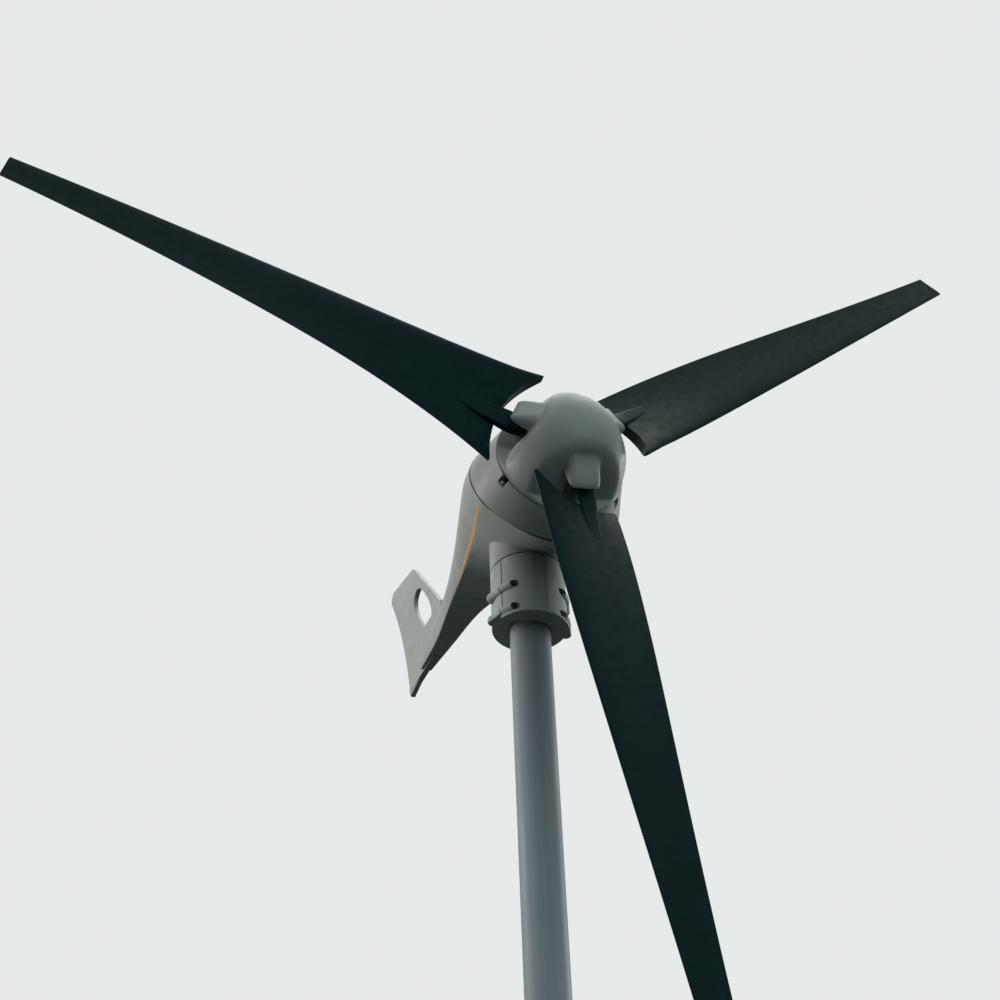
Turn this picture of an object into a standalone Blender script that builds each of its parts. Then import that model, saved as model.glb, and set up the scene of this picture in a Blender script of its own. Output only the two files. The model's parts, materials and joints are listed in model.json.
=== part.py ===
"""Small three-blade wind turbine on a pole top.

The origin is at the middle of the mast's foot, on the yaw axis. +Z is up and the nose points to -Y.
Shapes are worked out with heights above the clamp's underside, and the whole is lifted at the end.
"Ahead" is a distance in front of the yaw axis, towards the nose, along the rotor axis.
Four assemblies: the fixed mast, the nacelle that yaws on it, the rotor that spins in the nacelle,
and the two brushes that slide in their holder.
"""
import math

import bmesh
import bpy
from mathutils import Matrix, Vector

# ---- driving dimensions, in metres ----
GAP = 0.0003                 # clearance between pieces that touch
ROTOR_RADIUS = 0.585
ROTOR_HEIGHT = 0.126         # rotor axis above the clamp's underside
HUB_AHEAD = 0.128            # blade plane
FIRST_BLADE_ANGLE = -68.7    # degrees, clockwise from straight up, seen from the front

MAST_RADIUS = 0.01905
MAST_WALL = 0.0025
CLAMP_HEIGHT = 0.56          # the clamp's underside above the mast's foot
MAST_FOOT = -CLAMP_HEIGHT
MAST_TOP = 0.047
FOOT_PLATE = 0.003           # thickness of the end plate in the mast's foot
CABLE_HOLE_RADIUS = 0.006
CABLE_HOLE_RISE = 0.030      # the cable hole's middle above the foot
WIRE_RADIUS = 0.0017

CLAMP_RADIUS = 0.0355
CLAMP_TOP = 0.070
CLAMP_SPLIT = 0.0012         # width of the slit between the two clamp halves
SPLIT_AHEAD = 0.0157         # the slit is this far ahead of the yaw axis
FLANGE_RADIUS = 0.0374       # flange under the front half
FLANGE_THICKNESS = 0.0035
REAR_HALF_BOTTOM = 0.006     # the rear half has no flange and ends this far above the front one
CLAMP_SCREW_X = 0.0235
CLAMP_SCREW_HEIGHTS = (0.0088, 0.035)
CLAMP_SCREW_SEAT = 0.0215    # how far ahead a clamp screw's head sits
CLAMP_SCREW_LENGTH = 0.0210
CLAMP_SCREW_RADIUS = 0.0022
RIB_RADIUS = 0.0058          # ribs that carry the clamp screws round the side of the clamp
RIB_RING = 0.0330
RIB_ANGLES = range(2, 47, 8)     # degrees ahead of straight sideways
BORE_SKEW = 0.03             # turns a bore's facets off the facets around it

YAW_STEM_RADIUS = 0.0125
YAW_STEM_TOP = 0.139
YAW_FLANGE = (0.0515, 0.0575)
YAW_FLANGE_RADIUS = 0.0245
YAW_BORE = 0.0060
SLIP_POST_RADIUS = 0.0080
SLIP_POST_TOP = 0.186
SLIP_RING_HEIGHTS = (0.1505, 0.1725)
SLIP_RING_RADIUS = 0.0155
SLIP_RING_LENGTH = 0.009

NECK_RADIUS = 0.0355
NECK_BOTTOM = 0.071
STRIP_WIDTH = 0.0125         # shallow flat down the front of the neck and the clamp
STRIP_DISTANCE = 0.0344      # how far ahead of the yaw axis that flat is
BUSH_RADIUS = 0.0170

RIM_AHEAD = 0.1025           # rear rim of the nose
RIM_RADIUS = 0.0625
RIM_LIP = 0.0025             # how far the rim flares out
RIM_FLARE = 0.004            # how fast that flare fades ahead of the rim
NOSE_LENGTH = 0.072
NOSE_SHELL = 0.0025
NOSE_SIDES = 48
FLAT_DISTANCE = 0.046        # from the rotor axis to the nose's flat over each blade
FLAT_TAPER = 0.24            # how fast that flat closes in on the axis
FLAT_RAMP = 0.0045           # length of the step from the rim down to the flats
FLAT_STEP = 0.018
FLAT_BLEND = 0.003           # rounding between a flat and the dome
SLOT_WIDTH = 0.029           # slots for the blade roots, open to the rear
SLOT_FRONT = 0.135
HOOD_REAR = 0.1359           # rear face of the small hood over each blade's root
HOOD_REACH = 0.060
HOOD_LENGTH = 0.020
HOOD_HALF_ANGLE = 14         # degrees, and the hood fades out over the next HOOD_FADE_ANGLE
HOOD_FADE_ANGLE = 8
FACE_AHEAD = 0.1015          # front edge of the face housing
FACE_SCREW_ANGLES = (90, 210, 330)
FACE_SCREW_RING = 0.0600
FACE_NOTCH_DEPTH = 0.0095
NOTCH_RADIUS = 0.0045
SEAM_AHEAD = 0.0586          # joint between face housing and nacelle, at the rotor axis
SEAM_RADIUS = 0.075
SEAM_TILT = 0.23             # the joint leans back by this much for each metre of height

SHAFT_RADIUS = 0.0085
SHAFT_FRONT = 0.143
SHAFT_REAR = 0.030
HUB_RADIUS = 0.034
HUB_PLATE = (0.1155, 0.1215)
NECK_HALF_THICKNESS = 0.006
BEARING_OUTER = 0.0175
BEARING_WIDTH = 0.010
BALLS = 7
BALL_RADIUS = 0.0023
FRONT_BEARING = 0.086        # ahead of the yaw axis, rear face
REAR_BEARING = 0.033
ALTERNATOR = (0.0505, 0.0745)   # rear and front of the magnets and the stator
STATOR_RADIUS = 0.054
STATOR_BORE = 0.0357
MAGNET_RADIUS = 0.0347
MAGNET_CORE_RADIUS = 0.0300
END_TURN = 0.006
SLOTS = 12
MAGNETS = 4

BLADE_ANGLES = [FIRST_BLADE_ANGLE + 120 * number for number in range(3)]
BLADE_SCREW_REACH = (0.0205, 0.0295)
BLADE_ROOT_OFFSET = -0.004   # the root sits this far behind the blade's pitch line
ROOT_CUT_RADIUS = 0.0667     # the arc a blade's root is cut to, centred at lead and reach:
ROOT_CUT_LEAD = -0.0016
ROOT_CUT_REACH = 0.0050
ROOT_FLARE = 0.0025          # extra leading edge at the root, gone ROOT_FLARE_LENGTH further out
ROOT_FLARE_END = 0.078
ROOT_FLARE_LENGTH = 0.032
AEROFOIL_STEPS = 8

FIN_THICKNESS = 0.006
TAIL_SCREWS = ((0.304, 0.2085), (0.330, 0.2085))
TAIL_HEAD_SEAT = 0.0055

HALF_TURN = math.pi
QUARTER = math.pi / 2
AHEAD = (QUARTER, 0.0, 0.0)  # turns an object's local +Z to point ahead, along -Y


# ---- scene, materials and placing ----
def clear_scene():
    for item in list(bpy.data.objects):
        bpy.data.objects.remove(item, do_unlink=True)


def new_collection(name):
    made = bpy.data.collections.new(name)
    bpy.context.scene.collection.children.link(made)
    return made


def make_material(name, colour, roughness, metallic):
    made = bpy.data.materials.new(name)
    made.use_nodes = True
    shader = made.node_tree.nodes["Principled BSDF"]
    shader.inputs["Base Color"].default_value = (*colour, 1.0)
    shader.inputs["Roughness"].default_value = roughness
    shader.inputs["Metallic"].default_value = metallic
    made.diffuse_color = (*colour, 1.0)
    return made


def put_in(collection, item):
    for owner in list(item.users_collection):
        owner.objects.unlink(item)
    collection.objects.link(item)


def make_object(name, mesh, place=(0, 0, 0), turn=(0, 0, 0)):
    item = bpy.data.objects.new(name, mesh)
    item.location = place
    item.rotation_euler = turn
    PARTS.objects.link(item)
    return item


def make_empty(name, place, parent=None):
    item = bpy.data.objects.new(name, None)
    item.empty_display_size = 0.02
    PARTS.objects.link(item)
    hang(item, parent, place)
    return item


def hang(item, parent, place=None):
    """Parent an item, keeping its place in the world."""
    if place is not None:
        item.location = place
    bpy.context.view_layer.update()
    if parent is not None:
        world = item.matrix_world.copy()
        item.parent = parent
        item.matrix_parent_inverse = parent.matrix_world.inverted()
        item.matrix_world = world
    return item


def finish(item, material, parent, smooth_angle=35):
    """Give a part its material and parent, and shade its round sides smooth."""
    item.data.materials.clear()
    item.data.materials.append(material)
    if smooth_angle:
        item.data.shade_smooth()
        item.data.set_sharp_from_angle(angle=math.radians(smooth_angle))
    return hang(item, parent)


# ---- shapes ----
def cylinder(name, radius, low, high, place=(0, 0, 0), turn=(0, 0, 0), sides=32):
    """A cylinder on the local Z axis from low to high."""
    shape = bmesh.new()
    bmesh.ops.create_cone(shape, cap_ends=True, cap_tris=False, segments=sides, radius1=radius,
                          radius2=radius, depth=high - low)
    bmesh.ops.translate(shape, verts=shape.verts, vec=(0, 0, (low + high) / 2))
    return from_bmesh(name, shape, place, turn)


def box(name, size, centre, turn=(0, 0, 0)):
    shape = bmesh.new()
    bmesh.ops.create_cube(shape, size=1.0)
    bmesh.ops.scale(shape, verts=shape.verts, vec=size)
    return from_bmesh(name, shape, centre, turn)


def from_bmesh(name, shape, place, turn):
    mesh = bpy.data.meshes.new(name)
    shape.to_mesh(mesh)
    shape.free()
    return make_object(name, mesh, place, turn)


def turned(name, profile, place=(0, 0, 0), turn=(0, 0, 0), sides=32, closed=False):
    """A profile of (radius, height), outer side from top to bottom, turned about local Z."""
    shape = bmesh.new()
    corners = [shape.verts.new((radius, 0, height)) for radius, height in profile]
    for first, second in zip(corners, corners[1:]):
        shape.edges.new((first, second))
    if closed:
        shape.edges.new((corners[-1], corners[0]))
    item = from_bmesh(name, shape, place, turn)
    screw = item.modifiers.new("turned", "SCREW")
    screw.steps = sides
    screw.render_steps = sides
    screw.use_merge_vertices = True
    screw.merge_threshold = 0.00001
    screw.use_normal_calculate = False
    return item


def ring(name, outer, inner, low, high, place=(0, 0, 0), turn=(0, 0, 0), sides=32):
    profile = [(outer, high), (outer, low), (inner, low), (inner, high)]
    return turned(name, profile, place, turn, sides, closed=True)


def plate(name, outlines, thickness, place=(0, 0, 0), turn=(0, 0, 0)):
    """A flat plate, centred on local XY, from closed outlines of (x, y). Later outlines are holes."""
    curve = bpy.data.curves.new(name, "CURVE")
    curve.dimensions = "2D"
    curve.fill_mode = "BOTH"
    curve.extrude = thickness / 2
    for outline in outlines:
        line = curve.splines.new("POLY")
        line.points.add(len(outline) - 1)
        for point, (x, y) in zip(line.points, outline):
            point.co = (x, y, 0, 1)
        line.use_cyclic_u = True
    return as_mesh(make_object(name, curve, place, turn))


def wire(name, points, radius):
    """A round wire through points in the world."""
    curve = bpy.data.curves.new(name, "CURVE")
    curve.dimensions = "3D"
    curve.bevel_depth = radius
    curve.bevel_resolution = 2
    curve.use_fill_caps = True
    line = curve.splines.new("POLY")
    line.points.add(len(points) - 1)
    for point, place in zip(line.points, points):
        point.co = (*place, 1)
    return as_mesh(make_object(name, curve))


def as_mesh(item):
    """Replace a curve object by a closed mesh object of the same name and place."""
    bpy.context.view_layer.update()
    view = bpy.context.evaluated_depsgraph_get()
    mesh = bpy.data.meshes.new_from_object(item.evaluated_get(view))
    weld(mesh)
    name = item.name
    world = item.matrix_world.copy()
    bpy.data.objects.remove(item, do_unlink=True)
    made = make_object(name, mesh)
    made.matrix_world = world
    return made


def weld(mesh):
    shape = bmesh.new()
    shape.from_mesh(mesh)
    bmesh.ops.remove_doubles(shape, verts=shape.verts, dist=0.00001)
    bmesh.ops.recalc_face_normals(shape, faces=shape.faces)
    shape.to_mesh(mesh)
    shape.free()


def loft(name, sections, place=(0, 0, 0), turn=(0, 0, 0)):
    """A closed solid through sections that have the same number of points, with flat ends."""
    shape = bmesh.new()
    rows = [[shape.verts.new(point) for point in section] for section in sections]
    count = len(rows[0])
    for low, high in zip(rows, rows[1:]):
        for i in range(count):
            j = (i + 1) % count
            shape.faces.new((low[i], low[j], high[j], high[i]))
    shape.faces.new(rows[0][::-1])
    shape.faces.new(rows[-1])
    bmesh.ops.recalc_face_normals(shape, faces=shape.faces)
    return from_bmesh(name, shape, place, turn)


# ---- joining and cutting ----
def boolean(target, tool, operation):
    step = target.modifiers.new(operation.lower(), "BOOLEAN")
    step.operation = operation
    step.solver = "EXACT"
    step.object = tool
    tool.hide_render = True
    tool.display_type = "WIRE"
    put_in(TOOLS, tool)


def cut(target, *tools):
    for tool in tools:
        boolean(target, tool, "DIFFERENCE")


def join(target, *tools):
    for tool in tools:
        boolean(target, tool, "UNION")


def bevel(item, width, segments=1, angle=40):
    step = item.modifiers.new("edges", "BEVEL")
    step.width = width
    step.segments = segments
    step.limit_method = "ANGLE"
    step.angle_limit = math.radians(angle)


def baked(item):
    """The mesh of an item with its modifiers, for copies that share it."""
    bpy.context.view_layer.update()
    view = bpy.context.evaluated_depsgraph_get()
    mesh = bpy.data.meshes.new_from_object(item.evaluated_get(view))
    bpy.data.objects.remove(item, do_unlink=True)
    return mesh


def polar(radius, degrees):
    angle = math.radians(degrees)
    return radius * math.cos(angle), radius * math.sin(angle)


def on_rotor_axis(ahead):
    return (0, -ahead, ROTOR_HEIGHT)


def blend(value, table):
    """Read a table of (position, number, number...) rows at a position, in proportion between rows."""
    for first, second in zip(table, table[1:]):
        if value <= second[0]:
            part = (value - first[0]) / (second[0] - first[0])
            return [a + (b - a) * part for a, b in zip(first[1:], second[1:])]
    return list(table[-1][1:])


# ---- fixed mast, clamp and yaw shaft ----
def build_mast(fixed, steel, casting, zinc):
    bore = MAST_RADIUS - MAST_WALL
    floor = MAST_FOOT + FOOT_PLATE
    profile = [(0, floor), (bore, floor), (bore, MAST_TOP), (MAST_RADIUS, MAST_TOP),
               (MAST_RADIUS, MAST_FOOT), (0, MAST_FOOT)]
    mast = turned("mast_tube", profile, sides=40)
    cable_hole = (0, 0, MAST_FOOT + CABLE_HOLE_RISE)
    cut(mast, cylinder("cable_hole", CABLE_HOLE_RADIUS, 0.005, 0.03, cable_hole, (0, QUARTER, 0), 16))
    finish(mast, steel, fixed)
    for side, name in ((-1, "clamp_half_front"), (1, "clamp_half_rear")):
        build_clamp_half(name, side, fixed, casting)
    number = 0
    for x_side in (-1, 1):
        for height in CLAMP_SCREW_HEIGHTS:
            number += 1
            build_clamp_screw(number, x_side, height, fixed, zinc)


def build_clamp_half(name, side, fixed, casting):
    """Part of a two-part clamp. side is -1 for the cap ahead of the slit and 1 for the body behind it."""
    flange = FLANGE_RADIUS if side < 0 else CLAMP_RADIUS
    profile = [(0, CLAMP_TOP), (CLAMP_RADIUS, CLAMP_TOP), (CLAMP_RADIUS, FLANGE_THICKNESS),
               (flange, FLANGE_THICKNESS), (flange, 0), (0, 0)]
    half = turned(name, profile if side < 0 else profile[:2] + profile[4:], sides=44)
    places = [(x_side, height) for x_side in (-1, 1) for height in CLAMP_SCREW_HEIGHTS]
    for x_side, height in places:
        arc = [polar(RIB_RING, angle) for angle in RIB_ANGLES]
        join(half, wire("rib", [(x_side * x, -ahead, height) for x, ahead in arc], RIB_RADIUS))
    skew = (0, 0, BORE_SKEW)
    cut(half, cylinder("mast_bore", MAST_RADIUS + GAP, -0.01, MAST_TOP + 0.001, turn=skew, sides=40))
    cut(half, cylinder("stem_way", YAW_STEM_RADIUS + 0.001, 0.04, 0.08, turn=skew, sides=32))
    cut(half, cylinder("flange_groove", YAW_FLANGE_RADIUS + GAP, YAW_FLANGE[0] - GAP,
                       YAW_FLANGE[1] + GAP, turn=skew, sides=36))
    for x_side, height in places:
        place = (x_side * CLAMP_SCREW_X, 0, height)
        cut(half, cylinder("screw_hole", CLAMP_SCREW_RADIUS + GAP, 0.0, 0.05, place, AHEAD, 12))
        cut(half, cylinder("head_pocket", 0.0042, CLAMP_SCREW_SEAT, 0.05, place, AHEAD, 12))
    cut(half, box("other_half", (0.1, 0.1, 0.2), (0, side * (CLAMP_SPLIT / 2 - 0.05) - SPLIT_AHEAD, 0.03)))
    if side < 0:
        cut(half, front_strip(FLANGE_THICKNESS, 0.09))
    else:
        cut(half, box("under_rear_half", (0.1, 0.1, 0.02), (0, 0, REAR_HALF_BOTTOM - 0.01)))
    finish(half, casting, fixed)


def build_clamp_screw(number, x_side, height, fixed, zinc):
    """A socket screw: its head sits in the front half's pocket and it ends in the rear half."""
    head = 0.0038
    profile = [(0, 0.0034), (head, 0.0034), (head, 0.0), (CLAMP_SCREW_RADIUS, 0.0),
               (CLAMP_SCREW_RADIUS, -CLAMP_SCREW_LENGTH), (0, -CLAMP_SCREW_LENGTH)]
    place = (x_side * CLAMP_SCREW_X, -CLAMP_SCREW_SEAT - GAP, height)
    screw = turned(f"clamp_screw_{number}", profile, place, AHEAD, 12)
    cut(screw, cylinder("socket", 0.0018, 0.0012, 0.01, place, AHEAD, 6))
    finish(screw, zinc, fixed)


def build_yaw_shaft(fixed, steel, plastic, copper, zinc):
    stem = YAW_STEM_RADIUS
    profile = [
        (SLIP_POST_RADIUS, SLIP_POST_TOP), (SLIP_POST_RADIUS, YAW_STEM_TOP), (stem, YAW_STEM_TOP),
        (stem, 0.1315), (stem - 0.0012, 0.1315), (stem - 0.0012, 0.1280), (stem, 0.1280),
        (stem, YAW_FLANGE[1]), (YAW_FLANGE_RADIUS, YAW_FLANGE[1]), (YAW_FLANGE_RADIUS, YAW_FLANGE[0]),
        (YAW_BORE, YAW_FLANGE[0]), (YAW_BORE, SLIP_POST_TOP),
    ]
    finish(turned("yaw_shaft", profile, sides=24, closed=True), steel, fixed)
    finish(ring("yaw_retaining_ring", 0.0185, stem - 0.0012 + GAP, 0.1283, 0.1312, sides=24), zinc, fixed)
    low = YAW_STEM_TOP + GAP
    high = SLIP_POST_TOP - 0.002
    inner = SLIP_POST_RADIUS + GAP
    wall = 0.0125
    rim = 0.0165
    profile = [(rim, high), (rim, high - 0.002)]
    for height in reversed(SLIP_RING_HEIGHTS):
        top = height + SLIP_RING_LENGTH / 2 + GAP
        bottom = height - SLIP_RING_LENGTH / 2 - GAP
        profile += [(rim, top), (wall, top), (wall, bottom), (rim, bottom)]
    profile += [(rim, low), (inner, low), (inner, high)]
    finish(turned("slip_ring_carrier", profile, sides=20, closed=True), plastic, fixed)
    for height, name in zip(SLIP_RING_HEIGHTS, ("slip_ring_positive", "slip_ring_negative")):
        low = height - SLIP_RING_LENGTH / 2
        finish(ring(name, SLIP_RING_RADIUS, wall + GAP, low, low + SLIP_RING_LENGTH, sides=24), copper, fixed)


def build_mast_wires(fixed, jackets):
    """Two wires from the slip rings down the hollow yaw shaft and the mast."""
    for number, (name, jacket) in enumerate(jackets):
        turn = 90 + 180 * number
        near = polar(0.0030, turn)
        far = polar(0.0085, turn)
        points = [(*near, 0.180), (*near, 0.045), (*far, 0.020), (*far, MAST_FOOT + CABLE_HOLE_RISE)]
        finish(wire(name, points, WIRE_RADIUS), jacket, fixed)


# ---- nacelle ----
# Each row: place along Y, lower edge half-width and height, depth of the belly below that edge,
# greatest half-width and its height, top height, lean of the section.
BODY_ROWS = (
    (-0.0586, 0.0660, 0.0910, 0.0400, 0.0750, 0.1260, 0.2010, SEAM_TILT),
    (-0.0200, 0.0575, 0.1060, 0.0340, 0.0690, 0.1430, 0.2080, 0.20),
    (0.0200, 0.0468, 0.1215, 0.0250, 0.0595, 0.1570, 0.2130, 0.15),
    (0.0700, 0.0370, 0.1380, 0.0100, 0.0475, 0.1700, 0.2170, 0.07),
    (0.1200, 0.0286, 0.1529, 0.0010, 0.0360, 0.1800, 0.2200, 0.0),
    (0.2000, 0.0173, 0.1762, 0.0006, 0.0205, 0.1940, 0.2240, 0.0),
    (0.2700, 0.0103, 0.1848, 0.0004, 0.0122, 0.2040, 0.2280, 0.0),
    (0.3470, 0.0062, 0.1995, 0.0003, 0.0068, 0.2080, 0.2160, 0.0),
)
BELLY_STEPS = 5
SIDE_STEPS = 4
ROOF_STEPS = 7


def body_section(place):
    """A closed outline of the nacelle, in world coordinates, for a place along Y."""
    edge, edge_z, depth, width, width_z, top, lean = blend(place, BODY_ROWS)
    half = []
    for i in range(1, BELLY_STEPS):
        part = i / BELLY_STEPS
        half.append((edge * part, edge_z - depth * (1 - part * part)))
    for i in range(SIDE_STEPS + 1):
        part = i / SIDE_STEPS
        half.append((edge + (width - edge) * math.sin(part * QUARTER), edge_z + (width_z - edge_z) * part))
    for i in range(1, ROOF_STEPS):
        angle = i / ROOF_STEPS * QUARTER
        half.append((width * math.cos(angle), width_z + (top - width_z) * math.sin(angle)))
    outline = [(0, edge_z - depth)] + half + [(0, top)] + [(-x, z) for x, z in reversed(half)]
    return [(x, place + lean * (z - width_z), z) for x, z in outline]


def face_section(part, grow=0.0):
    """An outline of the face housing: a circle at the nose that leans and widens towards the seam."""
    radius = RIM_RADIUS + (SEAM_RADIUS - RIM_RADIUS) * part + grow
    ahead = FACE_AHEAD + (SEAM_AHEAD - FACE_AHEAD) * part
    points = []
    for i in range(36):
        x, z = polar(radius, 360 / 36 * i)
        points.append((x, -ahead + SEAM_TILT * part * z, ROTOR_HEIGHT + z))
    return points


def front_strip(low, high):
    """A cutter for the flat down the front of the column."""
    depth = 0.010
    middle = (0, -STRIP_DISTANCE - depth / 2, (low + high) / 2)
    return box("front_strip", (STRIP_WIDTH, depth, high - low), middle)


def build_nacelle(nacelle, paint, zinc):
    places = []
    for first, second in zip(BODY_ROWS, BODY_ROWS[1:]):
        places += [first[0], (first[0] + second[0]) / 2]
    places.append(BODY_ROWS[-1][0])
    body = loft("nacelle_body", [body_section(place) for place in places])
    neck = cylinder("neck", NECK_RADIUS, NECK_BOTTOM, 0.150, sides=48)
    cut(neck, front_strip(0.05, 0.105))
    join(body, neck)
    seam = box("seam_trim", (0.2, 0.1, 0.3), (0, 0, 0))
    seam.rotation_euler = (math.atan(-SEAM_TILT), 0, 0)
    seam.location = Vector(on_rotor_axis(SEAM_AHEAD)) + Vector((0, -0.05 + GAP / 2, 0))
    cut(body, seam)
    cut(body, cylinder("stator_room", STATOR_RADIUS + GAP, 0.0440, 0.12, (0, 0, ROTOR_HEIGHT), AHEAD, 48))
    cut(body, cylinder("bearing_seat", BEARING_OUTER + GAP, REAR_BEARING - GAP, 0.06,
                       (0, 0, ROTOR_HEIGHT), AHEAD, 32))
    cut(body, cylinder("shaft_way", 0.0125, 0.0255, 0.06, (0, 0, ROTOR_HEIGHT), AHEAD, 24))
    cut(body, cylinder("neck_bore", BUSH_RADIUS + GAP, 0.060, 0.1275, sides=32))
    cut(body, cylinder("ring_room", 0.0215, 0.1272, 0.145, sides=32))
    cut(body, box("slip_ring_room", (0.060, 0.078, 0.052), (0, 0.0135, 0.1670)))
    cut(body, box("board_room", (0.036, 0.062, 0.036), (0, 0.0790, 0.1830)))
    cut(body, cylinder("cable_way", 0.0038, 0.020, 0.055, (0.024, 0, ROTOR_HEIGHT + 0.032), AHEAD, 12))
    for angle in FACE_SCREW_ANGLES:
        x, z = polar(FACE_SCREW_RING, angle)
        cut(body, cylinder("face_thread", 0.0023, 0.0448, 0.12, (x, 0, ROTOR_HEIGHT + z), AHEAD, 12))
    slot = box("fin_slot", (FIN_THICKNESS + 2 * GAP, 0.120, 0.060), (0, 0.340, 0.2265))
    slot.rotation_euler = (math.atan(0.15), 0, 0)
    cut(body, slot)
    for y, z in TAIL_SCREWS:
        place = (0, y, z)
        cut(body, cylinder("tail_hole", 0.0018 + GAP, -0.0055, 0.03, place, (0, QUARTER, 0), 10))
        cut(body, cylinder("head_seat", 0.0038, TAIL_HEAD_SEAT, 0.03, place, (0, QUARTER, 0), 10))
    finish(body, paint, nacelle)


def notch_outline(angle):
    """A half-round notch that opens outward, round a face screw, as (x, y) about the rotor axis."""
    shape = [polar(NOTCH_RADIUS, 90 + 22.5 * i) for i in range(9)]
    shape += [(0.012, -NOTCH_RADIUS), (0.012, NOTCH_RADIUS)]
    turn = Matrix.Rotation(math.radians(angle), 2)
    return [tuple(turn @ Vector((FACE_SCREW_RING + x, y))) for x, y in shape]


def build_face(nacelle, paint, zinc):
    face = loft("face_housing", [face_section(0), face_section(0.5), face_section(1.15)])
    seam = box("seam_trim", (0.2, 0.1, 0.3), (0, 0, 0))
    seam.rotation_euler = (math.atan(-SEAM_TILT), 0, 0)
    seam.location = Vector(on_rotor_axis(SEAM_AHEAD)) + Vector((0, 0.05 - GAP / 2, 0))
    cut(face, seam)
    cut(face, cylinder("stator_room", STATOR_RADIUS + GAP, 0.0, 0.0805, (0, 0, ROTOR_HEIGHT), AHEAD, 48))
    cut(face, cylinder("bearing_seat", BEARING_OUTER + GAP, 0.05, FRONT_BEARING + BEARING_WIDTH + GAP,
                       (0, 0, ROTOR_HEIGHT), AHEAD, 32))
    cut(face, cylinder("shaft_way", 0.0125, 0.05, 0.12, (0, 0, ROTOR_HEIGHT), AHEAD, 24))
    seat = FACE_AHEAD - FACE_NOTCH_DEPTH
    for number, angle in enumerate(FACE_SCREW_ANGLES):
        x, z = polar(FACE_SCREW_RING, angle)
        place = (x, 0, ROTOR_HEIGHT + z)
        cut(face, cylinder("screw_way", 0.0026, 0.0, 0.12, place, AHEAD, 12))
        notch_middle = on_rotor_axis(seat + 0.015)
        cut(face, plate("notch", [notch_outline(angle)], 0.030, notch_middle, AHEAD))
        profile = [(0, seat + 0.0036), (0.0040, seat + 0.0036),
                   (0.0040, seat + GAP), (0.0020, seat + GAP), (0.0020, 0.0465), (0, 0.0465)]
        screw = turned(f"face_screw_{number + 1}", profile, place, AHEAD, 12)
        cut(screw, cylinder("socket", 0.0019, seat + 0.0012, 0.12, place, AHEAD, 6))
        finish(screw, zinc, nacelle)
    finish(face, paint, nacelle)


def fin_outline():
    """The fin seen from the side, as (y, z): a swept plate with a rounded rear corner."""
    corner = (0.487, 0.4075)
    arc = [(corner[0] + polar(0.010, angle)[0], corner[1] + polar(0.010, angle)[1])
           for angle in range(90, -31, -30)]
    rear = []
    for i in range(1, 8):
        part = i / 8
        bow = 0.010 * 4 * part * (1 - part)
        rear.append((0.4955 - 0.0925 * part - bow, 0.403 - 0.204 * part))
    return ([(0.290, 0.1925), (0.290, 0.2270), (0.2760, 0.2440), (0.300, 0.2720), (0.350, 0.3320),
             (0.390, 0.3800), (0.398, 0.3860), (0.406, 0.3900)]
            + arc + rear + [(0.403, 0.199), (0.360, 0.2000), (0.345, 0.2010), (0.335, 0.1990)])


def fin_hole():
    """A long hole through the fin, leaning with its front edge."""
    centre = (0.353, 0.293)
    lean = math.radians(53)
    points = []
    for i in range(24):
        x, y = polar(1.0, 15 * i)
        along = 0.055 * math.copysign(abs(x) ** 0.8, x)
        across = 0.0165 * math.copysign(abs(y) ** 0.8, y)
        points.append((centre[0] + along * math.cos(lean) - across * math.sin(lean),
                       centre[1] + along * math.sin(lean) + across * math.cos(lean)))
    return points


def build_tail(nacelle, paint, zinc):
    fin = plate("tail_fin", [fin_outline(), fin_hole()], FIN_THICKNESS, turn=(QUARTER, 0, QUARTER))
    for y, z in TAIL_SCREWS:
        cut(fin, cylinder("tail_hole", 0.0018 + GAP, -0.03, 0.03, (0, y, z), (0, QUARTER, 0), 10))
    finish(fin, paint, nacelle)
    for number, (y, z) in enumerate(TAIL_SCREWS):
        seat = TAIL_HEAD_SEAT + GAP
        profile = [(0, seat + 0.0020), (0.0034, seat + 0.0020), (0.0034, seat), (0.0018, seat),
                   (0.0018, -0.0050), (0, -0.0050)]
        screw = turned(f"tail_screw_{number + 1}", profile, (0, y, z), (0, QUARTER, 0), 10)
        finish(screw, zinc, nacelle)


def build_yaw_bearings(nacelle, bronze, rubber):
    inner = YAW_STEM_RADIUS + GAP
    finish(ring("yaw_bush_lower", BUSH_RADIUS, inner, 0.0765, 0.0900, sides=24), bronze, nacelle)
    finish(ring("yaw_bush_upper", BUSH_RADIUS, inner, 0.1130, 0.1275, sides=24), bronze, nacelle)
    finish(ring("yaw_seal", BUSH_RADIUS, inner, 0.0715, 0.0760, sides=24), rubber, nacelle)


def build_brush_gear(nacelle, brushes, plastic, carbon, spring_steel):
    """The brush holder stands behind the slip rings and a spring pushes each brush on to its ring."""
    holder = box("brush_holder", (0.020, 0.0300, 0.0420), (0, 0.0345, 0.1625))
    names = ("brush_positive", "brush_negative")
    for number, (name, height) in enumerate(zip(names, SLIP_RING_HEIGHTS)):
        cut(holder, box("brush_channel", (0.0070, 0.0270, 0.0070), (0, 0.0310, height)))
        cut(holder, cylinder("spring_vent", 0.0015, -0.06, -0.03, (0, 0, height), AHEAD, 8))
        front = SLIP_RING_RADIUS + GAP
        brush = box(name, (0.0062, 0.0130, 0.0062), (0, front + 0.0065, height))
        finish(brush, carbon, brushes[number], smooth_angle=0)
        build_spring(f"brush_spring_{number + 1}", height, front + 0.0135, 0.0440, nacelle, spring_steel)
    bevel(holder, 0.0008)
    finish(holder, plastic, nacelle)


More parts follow.
